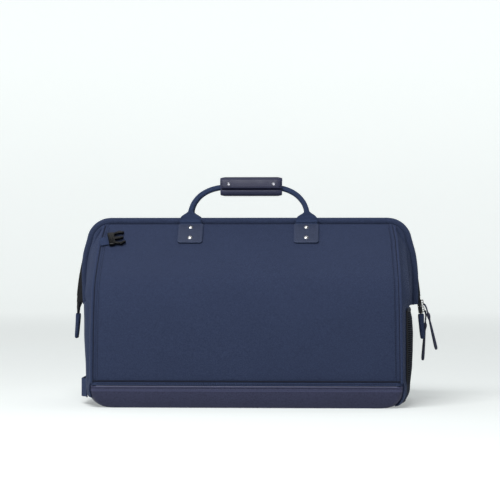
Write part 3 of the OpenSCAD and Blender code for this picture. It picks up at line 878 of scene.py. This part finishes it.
def build_base():
    """Leather base with a rolled top edge, the fabric strip sewn above it, and their seams. A lighter cord
    on the rolled edge is a painted highlight, and dark cords in the creases either side of the strip are
    painted shade.
    """
    rows = []
    for k in range(9):
        turn = math.pi / 2 * k / 8
        z = BASE_R * (1 - math.cos(turn))
        rows.append(plan_ring(z, tuck_under(z), face_tuck(z)))
    rolled_edge = ((27, -0.3), (32, -0.5), (32.6, -0.2), (33.2, -1.2), (35.4, -1.3), (36.2, -0.5))
    rows += [plan_ring(z, 0, inset) for z, inset in rolled_edge] + [plan_ring(36.2, 2.2, 2.0)]
    base = grid("base_leather", rows, ring=True, caps=True)
    fixed(base, "body", LEATHER, ("base_wrap",), sharp=50)
    strip = [
        (35.6, 1.5), (36.3, -0.6), (37.6, -1.4), (39.0, -1.1), (40.2, -1.3), (42.2, -1.2), (42.9, -0.4),
        (42.7, 1.5)
    ]
    binding = grid("base_binding", [plan_ring(z, max(inset, 0.5), inset) for z, inset in strip], ring=True)
    fixed(binding, "body", NAVY_BAND, ("front_base_binding", "back_base_binding"))
    for name, z, out in (("base_seam", 30.2, 0.75), ("binding_seam", 39.6, 1.45)):
        for turn in (1, -1):
            line = face_line(243, out, z, turn, 2)
            thread = stitches(f"{name}_{turn > 0}", line, (0, -turn, 0), pitch=3.8)
            fixed(thread, "body", THREAD if name == "base_seam" else DARK_THREAD_AND_SHADE)
    # A lighter cord along the rolled top edge paints its highlight.
    edge = ((244, 1.0, 35.6, 0.5, 0.6),)
    # Dark cords in the creases above and below the strip paint the shade that falls there.
    creases = ((250, 1.3, 43.8, 1.1, 1.1), (250, 0.9, 36.5, 0.55, 0.55))
    fixed(face_cords("base_edge_highlight", edge), "body", PAINTED_HIGHLIGHT_LEATHER)
    fixed(face_cords("base_crease_shade", creases), "body", DARK_THREAD_AND_SHADE)


def near_floor(z):
    """1 at the floor, and 0 from the top of the base's rounding up."""
    return 1 - min(z / BASE_R, 1)


def tuck_under(z):
    """How far the ends draw in where they round under the base."""
    return BASE_TUCK * (1 - math.sqrt(1 - near_floor(z) ** 2))


def face_tuck(z):
    """How far the front and back draw in above the floor."""
    return 8.0 * near_floor(z) ** 2


def side_puff(end, y, z):
    """How far an end panel stands out past the plain bulge."""
    over = math.cos(math.pi * clamp(abs(y) / 108) / 2) ** 0.8
    if end == "left":
        return over * between([(20, 0.8), (60, 3.4), (105, 4.8), (150, 6.8), (168, 7.2)], z)
    return over * between([(20, 0.2), (70, 0.2), (168, 0.0)], z)


def side_row(end, z, inward=0.0):
    """Row across an end, from front to back. Above the base its edges slip under the shell's wrap."""
    sign = ENDS[end]
    slip = ease(37, 45, z)
    row = []
    for k in range(45):
        y = (-113 + 226 * k / 44) * (1 - 0.075 * near_floor(z) ** 2)
        x = wall_x(y) + side_puff(end, y, min(z, SIDE_TOP)) - inward - tuck_under(z) + 0.8
        x -= 4.0 * ease(93, 100, abs(y)) * slip
        x += wobble((sign * 40, y, z), 45, 1.1) * (1 - ease(80, 100, abs(y))) * ease(20, 50, z)
        row.append((sign * x, y, z))
    return row


def build_side(end):
    """End panel, with its foot and its top edge turned in."""
    foot = 5.0 if end == "right" else 17.0
    low_rows = [z for z in (5.5, 8, 11, 14, 18, 22, 26, 30, 35, 40) if z > foot]
    turned_in = ((1.2, 0.8), (1.8, 2.4), (1.6, 5.0), (-1.0, 8.5))
    rows = [side_row(end, foot, 2.5)] + [side_row(end, z) for z in low_rows]
    rows += [side_row(end, 46 + (SIDE_TOP - 46) * k / 24) for k in range(25)]
    rows += [side_row(end, SIDE_TOP + rise, inward) for rise, inward in turned_in]
    panel = grid(end + "_end", rows)
    if end == "right":
        panel.data.flip_normals()
    lined(panel, 2.0)
    fixed(panel, "body", [NAVY, LINING], (end + "_side_panel",))


def build_lining():
    """Lining tub inside the lower body, and the covered board on its floor."""
    heights = (6.5, 9, 12, 16, 21, 28, 45, 70, 95, 112, 118)
    lining = grid(
        "lining_tub", [plan_ring(z, 5.0 + tuck_under(z), 4.5 + face_tuck(z)) for z in heights], ring=True
    )
    thicken(lining, 0.8, offset=0)
    fixed(lining, "body", LINING, ("lining",), sharp=38)
    board = bevel(plate("base_board_cover", [plan(26, 8)], 4.2), 1.4, 3)
    transform(board, Matrix.Translation((0, 0, 2.6)))
    fixed(board, "body", BOARD, ("base_board",), sharp=38)


# ---- Side pocket and grab strap ----

POCKET_HALF = 96
POCKET_FULL = 6.4
GRAB_Z = 29
GRAB_WIDTH = 30.5


def pocket_share(y):
    """1 in the middle of the pocket, and 0 at its sewn sides."""
    return 1 - (abs(y) / POCKET_HALF) ** 4


def pocket_x(y, z, out=0.0):
    """Outside of the mesh pocket on the right end: sewn at its sides and foot, full in the middle."""
    rise = between([(10, 0.0), (37, 0.25), (62, 0.72), (90, 0.92), (120, 1.0), (145, 0.75), (161, 0.15)], z)
    return wall_x(y) + side_puff(
        "right", y, z
    ) - tuck_under(z) + 2.0 + POCKET_FULL * pocket_share(y) * rise + out


def diamond_mesh(name, low_z, high_z, half_y, pitch):
    """Net of diamonds on the pocket's surface, as a sheet that the wireframe turns to threads."""
    across = int(2 * half_y / pitch)
    tall = int((high_z - low_z) / pitch)
    points, faces = [], []
    for r in range(2 * tall + 1):
        for k in range(across + 1):
            y = -half_y + (k + (0.5 if r % 2 else 0.0)) * 2 * half_y / (across + 0.5)
            z = low_z + (high_z - low_z) * r / (2 * tall)
            points.append((pocket_x(y, z), y, z))
    wide = across + 1
    for r in range(0, 2 * tall - 1):
        for k in range(across):
            shift = 1 if r % 2 else 0
            if k + shift < wide:
                faces.append((r * wide + k + shift, (r + 1) * wide + k + 1,
                              (r + 2) * wide + k + shift, (r + 1) * wide + k))
    return mesh_object(name, points, faces)


def build_pocket():
    net = diamond_mesh("pocket_net", 10, 157, 94, 3.4)
    modifier = net.modifiers.new("Net", "WIREFRAME")
    modifier.thickness = 1.25 * MM
    modifier.use_even_offset = False
    apply_all(net)
    fixed(net, "body", MESH, ("side_pocket",), sharp=180)
    heights = (9, 12, 17, 24, 34, 46, 58, 72, 90, 110, 128, 145, 158)
    rows = [[(pocket_x(y, z, -1.0), y, z) for y in (-95 + 4.75 * k for k in range(41))] for z in heights]
    liner = thicken(grid("pocket_liner", rows), 0.7, offset=0)
    fixed(liner, "body", MESH, sharp=38)
    rows = []
    hem = (
        (155.5, -0.3), (156.2, 1.0), (158.5, 1.5), (161.3, 1.3), (162.2, 0.2), (161.6, -1.4),
        (156.0, -1.6)
    )
    for z, out in hem:
        row = []
        for k in range(161):
            y = POCKET_HALF * (k / 80 - 1)
            ruffle = 0.45 * math.sin(k * 1.3) * pocket_share(y)
            row.append((pocket_x(y, z, out + ruffle), y, z))
        rows.append(row)
    fixed(grid("pocket_elastic_band", rows), "body", ELASTIC, ("pocket_elastic",), sharp=70)
    sides = [(-1, 158 - 4 * k) for k in range(37)]
    foot = [(-0.97 + 1.94 * k / 40, 10) for k in range(41)]
    round_pocket = sides + foot + [(-a, z) for a, z in reversed(sides)]
    line = [(pocket_x(95 * a, z) + 0.2, 95 * a, z) for a, z in round_pocket]
    edge = sweep("pocket_binding", smooth_curve(line, 180), squarish(1.5, 2.2, 3, 10), (1, 0, 0))
    fixed(edge, "body", ELASTIC, sharp=70)


def grab_x(y, out):
    """X of the grab strap on the left end."""
    return -(wall_x(y) + side_puff("left", y, 40) * 0.8 + out)


def build_grab_strap():
    """Webbing loop low on the left end, sewn down with a crossed box at each of its ends."""
    section = rounded_box(GRAB_WIDTH, 2.1, 0.9, 4)
    rows = []
    for k in range(61):
        y = -80 + 160 * k / 60
        rise = 9.0 * ease(0, 1, (66 - abs(y)) / 22) if abs(y) < 66 else 0.0
        sag = 1.2 * math.cos(math.pi * y / 160)
        rows.append([(grab_x(y, 1.6 + rise) + b, y, GRAB_Z - sag + a) for a, b in section])
    strap = grid("grab_strap", rows, ring=True, caps=True)
    fixed(strap, "body", WEBBING, ("side_grab_strap",))
    for sign in (-1, 1):
        box = [(y * sign, z) for y, z in ((69, 17), (78, 17), (78, 41), (69, 41), (69, 17), (78, 41))]
        path = [(grab_x(y, 2.9), y, z) for y, z in resample(box, 60)]
        name = "grab_strap_box_" + ("back" if sign > 0 else "front")
        fixed(stitches(name, path, (-1, 0, 0), pitch=3.0), "body", THREAD)


# ---- Hinge, zip ends, sliders, pulls ----


def soften(name, width, material):
    """Keeps a CAD piece, with its edges rounded and a better finish."""
    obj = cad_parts[name]
    weld = obj.modifiers.new("Join", "WELD")
    weld.merge_threshold = 0.01 * MM
    add_bevel(obj, width)
    for slot in obj.material_slots:
        slot.link = "OBJECT"
        slot.material = material
    if not obj.material_slots:
        obj.data.materials.append(material)


def leg_point(out, up, y=0.0, sign=1):
    """Point by the zip's leg, from the hinge's height: out of the leg and up along it."""
    x = LEG_FOOT + out * math.cos(LEG_SPLAY) - up * math.sin(LEG_SPLAY)
    return Vector((sign * x, y, HINGE_Z + out * math.sin(LEG_SPLAY) + up * math.cos(LEG_SPLAY)))


def leg_block(name, sign, levels):
    """Soft block along a leg. Each level is (up, middle out, half thickness, half width)."""
    rows = []
    for up, out, half_t, half_y in levels:
        ring = squarish(half_t, half_y, 4.5, 28)
        rows.append([leg_point(out + a, up, b, sign) for a, b in ring])
    return grid(name, rows, ring=True, caps=True)


TAIL_TAPE = [(-27, -2.5, 0.5, 10.5), (-26, -2.5, 0.7, 11.6), (-7, -2.5, 0.7, 11.8), (-5.6, -2.5, 0.5, 11.2)]
TAIL_COIL = [(-27, -2.5, 1.0, 2.0), (-26, -2.5, 1.4, 2.5), (-7, -2.5, 1.4, 2.5), (-5.6, -2.5, 1.0, 2.2)]
TAIL_FAN = [
    (-27, -1.0, 0.8, 1.6), (-22, -0.9, 1.4, 1.6), (-15, -1.2, 3.0, 1.5), (-8, -1.9, 4.4, 1.4),
    (-3, -2.2, 5.0, 1.3),
]
TAB = [
    (-67.2, -5.0, 2.0, 7.5), (-66, -5.0, 3.4, 9.0), (-60, -4.7, 3.9, 9.8), (-50, -4.2, 4.2, 10.0),
    (-40, -3.6, 4.5, 9.8), (-31, -2.9, 4.9, 9.4), (-27, -2.5, 5.0, 9.0), (-25.2, -2.5, 3.8, 8.2),
]
TAB_THICKNESS = {"right": 1.0, "left": 0.78}


def build_zip_ends():
    """Tape tails under their end tabs. The left tail, past the sliders' reach, fans out."""
    for end, sign in ENDS.items():
        levels = [TAIL_TAPE, TAIL_COIL] + ([TAIL_FAN] if end == "left" else [])
        tail = joined([leg_block("tail", sign, one) for one in levels], end + "_tail")
        fixed(tail, "body", ZIP_TAPE, (end + "_zip_tail",))
        tab = [(up, out, thick * TAB_THICKNESS[end], wide) for up, out, thick, wide in TAB]
        fixed(leg_block(end + "_tab", sign, tab), "body", WEBBING, (end + "_end_tab",))
        for half, turn in SIDES.items():
            line = [leg_point(-4.2, up, -turn * 10.0, sign) for up in (-61, -31)]
            thread = stitches(f"{end}_{half}_tab_thread", line, (0, -turn, 0), pitch=3.0)
            fixed(thread, "body", THREAD)


def cord_strands(name, path):
    """Two strands twisted round each other along a path."""
    radius, turns = 1.4, 8
    strand = squarish(radius * 0.62, radius * 0.62, 2, 8)
    strands = []
    for phase in (0, math.pi):
        rows = []
        for i, p in enumerate(path):
            ahead = heading(path, i)
            side = ahead.cross(Vector((0, 1, 0))).normalized()
            other = ahead.cross(side)
            turn = phase + 2 * math.pi * turns * i / (len(path) - 1)
            middle = p + (side * math.cos(turn) + other * math.sin(turn)) * radius * 0.5
            rows.append([middle + side * a + other * b for a, b in strand])
        strands.append(grid(f"{name}_{phase > 0}", rows, ring=True, caps=True))
    return joined(strands, name)


# Levels of a pull's tag along its length: (along, half width, half thickness)
TAG = [
    (4.0, 1.2, 1.0), (3.2, 2.6, 2.0), (1.0, 3.6, 2.9), (-2.0, 4.0, 3.1), (-5.0, 3.8, 2.5), (-8.0, 3.0, 1.8),
    (-10.5, 3.1, 1.6), (-14.0, 3.9, 1.8), (-20.0, 4.3, 2.0), (-34.0, 4.4, 2.4), (-50.0, 4.3, 2.7),
    (-56.0, 3.9, 2.7), (-59.2, 2.8, 2.1), (-60.0, 1.5, 1.3),
]


def build_pull(level, slider_up, elbow, knot, tag_tilt):
    """Cord through the slider's bail down to a slim moulded tag."""
    tilt = math.radians(50)
    hinge = leg_point(2.2, slider_up)
    start = hinge + 5.0 * Vector((math.sin(tilt), 0, -math.cos(tilt)))
    body = level + "_pull"
    path = smooth_curve([start + Vector((-0.6, 0, 0.6)), start, Vector(elbow), Vector(knot)], 60)
    fixed(cord_strands(level + "_cord", path), body, WEBBING, sharp=180)
    turn = math.radians(tag_tilt)
    down = Vector((-math.sin(turn), 0, math.cos(turn)))
    flat = Vector((0, 1, 0))
    thin = down.cross(flat)
    rows = [[Vector(knot) + down * at + flat * a + thin * b for a, b in squarish(wide, thick, 3.2, 24)]
            for at, wide, thick in TAG]
    tag = grid(level + "_tag", rows, ring=True, caps=True)
    fixed(tag, body, RUBBER, (level + "_pull_tag",), sharp=50)


def build_bracket(end, sign):
    """Folded steel bracket: a long ear inside, a short ear outside the eyes, and a bridge under them."""
    name = end + "_hinge_bracket"
    low, high = (corner[0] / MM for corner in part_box(name))
    near, far = (low, high) if sign > 0 else (-high, -low)
    stand_up = Matrix(((0, 0, 1, 0), (1, 0, 0, 0), (0, 1, 0, 0), (0, 0, 0, 1)))
    sheet = 2.2
    top = arc((0, HINGE_Z), 8.0, -20, 200, 14)
    shapes = [
        (near, sheet, top + [(-7, 164), (-6, 154), (-4, 152), (4, 152), (6, 154), (7, 164)]),
        (far - sheet, sheet, top + [(-7, 166.4), (7, 166.4)]),
        (near, far - near, [(-7, 164.6), (7, 164.6), (7, 166.6), (-7, 166.6)]),
    ]
    parts = []
    for x, thick, outline in shapes:
        piece = bevel(plate("ear", [outline], thick), 0.5, 2)
        parts.append(transform(piece, Matrix.Translation((x, 0, 0)) @ stand_up))
    bracket = flipped(joined(parts, end + "_bracket"), flip_x=sign < 0)
    fixed(bracket, "body", STEEL, (name,), sharp=40)


def build_hardware():
    for level in ("upper", "lower"):
        soften(level + "_slider", 0.28, BLACK_METAL)
        soften(level + "_pull_bail", 0.1, BLACK_METAL)
    for name in ("hinge_rivets", "front_frame_wire", "back_frame_wire"):
        soften(name, 0.3, STEEL)
    for end, sign in ENDS.items():
        build_bracket(end, sign)
    build_pull("upper", -7, (298, -5, 161.5), (302, -5, 148), 13)
    build_pull("lower", -18.5, (299, 16, 146), (298, 16, 130), -4)


# ---- Patches, webbing ends, rivets ----


def on_slope(obj, half, x=0.0, up=0.0, out=0.0, turn=0.0):
    """Places a mesh drawn in X, Y up the slope and Z out of it."""
    lie = Matrix(((1, 0, 0), (0, SLOPE_UP.y, SLOPE_OUT.y), (0, SLOPE_UP.z, SLOPE_OUT.z))).to_4x4()
    lie.translation = SLOPE_TOP + SLOPE_UP * up + SLOPE_OUT * out + Vector((x, 0, 0))
    transform(obj, lie @ Matrix.Rotation(math.radians(turn), 4, "Z"))
    return flipped(obj, flip_y=half == "back")


def patch_ring(scale, height):
    return [(x * scale, PATCH_UP + y * scale, height) for x, y in rounded_box(*PATCH_SIZE, 6)]


def patch_shape(name):
    """Leather patch with a rolled edge and a slight dome."""
    rolled = ((1.0, 0.0), (1.012, 0.7), (1.0, 1.4), (0.955, 1.9))
    domed = ((0.9, 1.75), (0.86, 1.95), (0.5, 2.25), (0.02, 2.3))
    return grid(name, [patch_ring(*level) for level in rolled + domed], ring=True, caps=True)


def rivet_shape(name):
    """Domed cap on a thin flange."""
    profile = [
        (4.1, 0.0), (4.2, 0.25), (4.0, 0.5), (3.6, 0.62), (3.3, 0.9), (2.6, 1.35), (1.5, 1.7), (0.3, 1.8)
    ]
    return lathe(name, profile)


def build_patches():
    for half in SIDES:
        mouth = half + "_mouth"
        rivets, threads = [], []
        for end, sign in ENDS.items():
            x = sign * PATCH_X
            patch = on_slope(patch_shape(f"{half}_{end}_patch_leather"), half, x, out=PATCH_OUT)
            fixed(patch, mouth, PATCH_LEATHER, (f"{half}_{end}_patch",))
            edge = patch_ring(0.87, 1.95)
            thread = stitches(
                f"{half}_{end}_patch_thread", edge + edge[:1], (0, 0, 1), pitch=2.9, length=2.0
            )
            threads.append(on_slope(thread, half, x, out=PATCH_OUT))
            for up in RIVET_UP:
                rivets.append(on_slope(rivet_shape("rivet"), half, x, up=up, out=PATCH_OUT + 2.1))
        rivets = joined(rivets, half + "_rivets")
        fixed(rivets, mouth, NICKEL, (half + "_patch_rivets",), sharp=45)
        fixed(joined(threads, half + "_patch_threads"), mouth, THREAD)
        ends = []
        for sign in (-1, 1):
            under_patch = ((-42, 1.2), (-20, 1.2), (-4, 1.6))
            line = [SLOPE_TOP + SLOPE_UP * up + SLOPE_OUT * out for up, out in under_patch]
            line += [Vector((0, -16.2, 300.6)), HANDLE_FOOT + Vector((0, 0, 1.0))]
            path = [p + Vector((sign * PATCH_X, 0, 0)) for p in smooth_curve(line, 30)]
            strip = sweep("end", path, rounded_box(2 * STRAP_HALF, 1.9, 0.8, 3), (1, 0, 0))
            ends.append(flipped(strip, flip_y=half == "back"))
        ends = joined(ends, half + "_strap_ends")
        fixed(ends, mouth, WEBBING, (half + "_webbing_ends",))


# ---- Handles and grip ----


# The handle's bend in X and height, from its right foot to where the grip begins
HANDLE_LINE = [
    (98, -0.5), (98, 6), (98, 12), (97.6, 18), (96, 25), (91.5, 35), (81.5, 46.5), (67.5, 55),
    (51, 59.8), (FOLD_X, HANDLE_LEN),
]


def handle_section(height):
    """Flat at the foot, with its edges curled forward, folded into a tube above."""
    fold = ease(5, 20, height)
    half_w = between([(5, STRAP_HALF), (9, 16.2), (12.5, 11.8), (15.5, 7.2), (18, 4.7), (26, 4.4)], height)
    half_t = 1.25 + 3.0 * ease(8, 22, height)
    curl = 3.2 * ease(3, 11, height) * (1 - ease(15, 22, height))
    crease = 0.6 * ease(18, 26, height)
    ring = []
    for a, b in squarish(half_t, half_w, 6 - 3.8 * fold, 32):
        dent = crease * math.exp(-((b / 1.1) ** 2)) if a < 0 else 0.0
        ring.append((a - curl * (b / STRAP_HALF) ** 2 + dent, b))
    return ring


def build_handle(half):
    right = [tuple(p) for p in smooth_curve(HANDLE_LINE, 70)]
    flat = [(FOLD_X * (1 - k / 10), HANDLE_LEN) for k in range(1, 20)]
    line = right + flat + [(-x, h) for x, h in reversed(right)]
    upward = Vector((0, math.sin(HANDLE_LEAN), math.cos(HANDLE_LEAN)))
    outward = Vector((0, -math.cos(HANDLE_LEAN), math.sin(HANDLE_LEAN)))
    points = [HANDLE_FOOT + upward * h + Vector((x, 0, 0)) for x, h in line]
    rows = []
    for i, p in enumerate(points):
        across = heading(points, i).cross(outward).normalized()
        rows.append([p - outward * a + across * b for a, b in handle_section(line[i][1])])
    handle = flipped(grid(half + "_strap", rows, ring=True, caps=True), flip_y=half == "back")
    fixed(handle, half + "_handle", WEBBING, (half + "_handle",))


def leather_sheet(name, profile, thickness, count=26):
    """Leather bent along the grip from a profile in Y and Z, with its two ends drawn in a little."""
    line = smooth_curve(profile, count)
    low, high = GRIP
    rows = []
    for k in range(29):
        share = k / 28
        x = low + (high - low) * share
        draw = 1.6 * (1 - ease(0, 0.07, min(share, 1 - share)))
        rows.append([(x, *(p + (GRIP_CENTRE - p).normalized() * draw)) for p in line])
    return bevel(thicken(grid(name, rows), thickness, offset=1.0), 0.5, 2, 50)


# Profiles of the grip's three leathers in Y and Z
GRIP_BACK = [
    (10.2, 376.4), (11.8, 372.5), (12.4, 365), (12.0, 357), (10.4, 351.4), (6.5, 348.6), (0, 347.9),
    (-6.5, 348.3), (-10.4, 349.6),
]
GRIP_INNER = [
    (-10.7, 349.3), (-12.6, 351.6), (-13.4, 355.0), (-12.9, 357.6), (-11.3, 359.2), (-10.4, 361.5),
    (-10.6, 371),
]
GRIP_OUTER = [
    (11.2, 374.4), (10.9, 376.6), (8.2, 378.4), (0, 378.9), (-7.6, 378.2), (-11.8, 375.4), (-13.8, 370),
    (-14.9, 365), (-15.6, 361.4),
]


def build_grip():
    """Leather round the two handles: a back, an inner leaf and an outer flap that snaps to it."""
    for name, profile, thickness, count, body, node_name in (
        ("grip_back", GRIP_BACK, 1.9, 26, "back_handle", "grip_cradle"),
        ("grip_inner", GRIP_INNER, 1.4, 14, "grip_leaf", "grip_leaf"),
        ("grip_outer", GRIP_OUTER, 1.4, 26, "grip_flap", "grip_flap"),
    ):
        sheet = leather_sheet(name, profile, thickness, count)
        fixed(sheet, body, GRIP_LEATHER, (node_name,))
    low, high = GRIP[0] + 2.6, GRIP[1] - 2.6
    down = [(-15.3, 374), (-16.2, 366), (-16.5, 363.6)]
    edge = [(low, y, z) for y, z in down] + [(high, y, z) for y, z in reversed(down)]
    thread = stitches("grip_thread", edge, (0, -1, 0), pitch=2.9)
    fixed(thread, "grip_flap", DARK_THREAD_AND_SHADE)
    caps, studs = [], []
    dome = [(2.9, 0.0), (3.0, 0.3), (2.7, 0.7), (2.2, 0.85), (1.8, 0.6), (0.9, 0.7), (0.2, 0.75)]
    post = [(2.0, -1.2), (2.1, 0.0), (1.6, 0.3), (1.5, 0.7), (1.8, 0.9), (1.2, 1.3), (0.2, 1.4)]
    for x in (GRIP_MID - SNAP_X, GRIP_MID + SNAP_X):
        for made, name, profile, y, tilt in (
            (caps, "cap", dome, -15.7, 0.2), (studs, "stud", post, -12.6, 0)
        ):
            face = Matrix.Rotation(math.pi / 2 - tilt, 4, "X")
            made.append(transform(lathe(name, profile), Matrix.Translation((x, y, 368)) @ face))
    fixed(joined(caps, "grip_snaps"), "grip_flap", SNAP_METAL, ("snap_caps",), sharp=40)
    fixed(joined(studs, "grip_studs"), "grip_leaf", NICKEL, ("snap_studs",), sharp=40)


# ---- Buckle ----

BUCKLE_AT = dict(x=-245.0, up=-43.5, out=1.0, turn=12)


def build_buckle():
    """Three-pronged half of a side-release buckle on a short webbing end, drawn lying along X."""
    rows = [[(x, y, z + 1.1) for y, z in rounded_box(wide, 1.7, 0.7, 3)]
            for x, wide in ((-2.5, 19), (2, 19), (6, 19), (9, 18.5), (13.5, 18.5))]
    strap = grid("buckle_strap", rows, ring=True, caps=True)
    fixed(on_slope(strap, "front", **BUCKLE_AT), "buckle", WEBBING, ("buckle_webbing",))
    bar = [
        (12, -14), (17, -14.6), (22.5, -13.8), (23, -10.5), (23, 10.5), (22.5, 13.8), (17, 14.6), (12, 14)
    ]
    slot = [(14.6, -9.5), (16.6, -9.5), (16.6, 9.5), (14.6, 9.5)]
    middle = [(21, -2.4), (36, -1.9), (37.8, -0.6), (37.8, 0.6), (36, 1.9), (21, 2.4)]
    hook = [
        (21, 9.2), (21, 12.6), (26.5, 13.6), (31.5, 15.6), (34.5, 15.2), (36.5, 13.2), (39.8, 12.6),
        (40.2, 10.6), (37, 9.6), (33, 11.2), (28, 10.4), (24.5, 9.4),
    ]
    other = [(x, -y) for x, y in reversed(hook)]
    prongs = bevel(plate("prongs", [middle, hook, other], 5.0), 1.0, 3)
    transform(prongs, Matrix.Translation((0, 0, 1.2)))
    frame_bar = bevel(plate("bar", [bar], 6.6), 1.4, 3)
    ribs = bevel(plate("ribs", [slot, [(x + 4.2, y) for x, y in slot]], 1.3), 0.5, 2)
    transform(ribs, Matrix.Translation((0, 0, 6.0)))
    male = joined([frame_bar, prongs, ribs], "buckle_male_half")
    on_slope(male, "front", **BUCKLE_AT)
    fixed(male, "buckle", PLASTIC, ("buckle_male",), sharp=40)


# ---- Stage ----


def build_stage():
    """Round studio cove: a pale floor that curves up far from the bag. Its paper glows as painted studio
    light, faintly near the bag and more on the far walls.
    """
    made, tree, shader = new_material("studio_paper", Roughness=0.95, Specular_IOR_Level=0.0)
    tint = mixed(tree, patchy(tree, 0.6), (0.56, 0.585, 0.58), (0.58, 0.605, 0.60))
    tree.links.new(tint, shader.inputs["Base Color"])
    place = node(tree, "TexCoord").outputs["Object"]
    away = node(tree, "VectorMath", {0: place}, operation="LENGTH").outputs["Value"]
    # Painted light: the paper's own glow rises from 0.33 near the bag to 0.68 on the walls.
    glow = node(
        tree, "MapRange",
        {"Value": away, "From Min": 0.6, "From Max": 4.5, "To Min": 0.33, "To Max": 0.68}
    )
    tree.links.new(glow.outputs[0], shader.inputs["Emission Strength"])
    shader.inputs["Emission Color"].default_value = (0.93, 0.965, 0.955, 1)
    wall = [(1, 0), (2000, 0), (4800, 0), (6300, 120), (7200, 560), (7600, 1200), (7700, 2200)]
    floor = lathe("studio_floor", smooth_curve(wall, 60), 96, caps=False)
    floor.data.shade_smooth()
    floor.data.materials.append(made)


def area_light(name, place, target, size, power):
    data = bpy.data.lights.new(name, "AREA")
    data.shape = "RECTANGLE"
    data.size, data.size_y = size
    data.energy = power
    light = bpy.data.objects.new(name, data)
    light.location = place
    light.visible_camera = False
    light.rotation_euler = (Vector(target) - Vector(place)).to_track_quat("-Z", "Y").to_euler()
    bpy.context.scene.collection.objects.link(light)


def build_lights():
    world = bpy.data.worlds.new("studio_air")
    bpy.context.scene.world = world
    world.use_nodes = True
    back = world.node_tree.nodes["Background"]
    back.inputs["Color"].default_value = (0.93, 0.97, 1.0, 1)
    back.inputs["Strength"].default_value = 0.18
    area_light("key", (-0.55, -1.75, 2.15), (0, 0, 0.2), (1.8, 1.0), 78)
    area_light("top", (0, 0.8, 2.6), (0, 0.4, 0), (3.0, 2.0), 18)


def build_camera():
    """Level camera a little to the right of the front, on a long lens."""
    distance, height, azimuth = 2.89, 0.257, math.radians(2.3)
    data = bpy.data.cameras.new("camera")
    data.sensor_width = 36
    data.lens = 123
    camera = bpy.data.objects.new("camera", data)
    camera.location = (distance * math.sin(azimuth), -distance * math.cos(azimuth), height)
    camera.rotation_euler = (math.pi / 2, 0, azimuth)
    data.shift_x = 0.002
    bpy.context.scene.collection.objects.link(camera)
    bpy.context.scene.camera = camera
    bpy.context.scene.view_settings.view_transform = "Standard"


build_camera()
build_shell()
build_fins()
build_wings()
build_base()
for end in ENDS:
    build_side(end)
build_lining()
build_pocket()
build_grab_strap()
build_zip_ends()
build_hardware()
build_patches()
for half in SIDES:
    build_handle(half)
build_grip()
build_buckle()
build_stage()
build_lights()
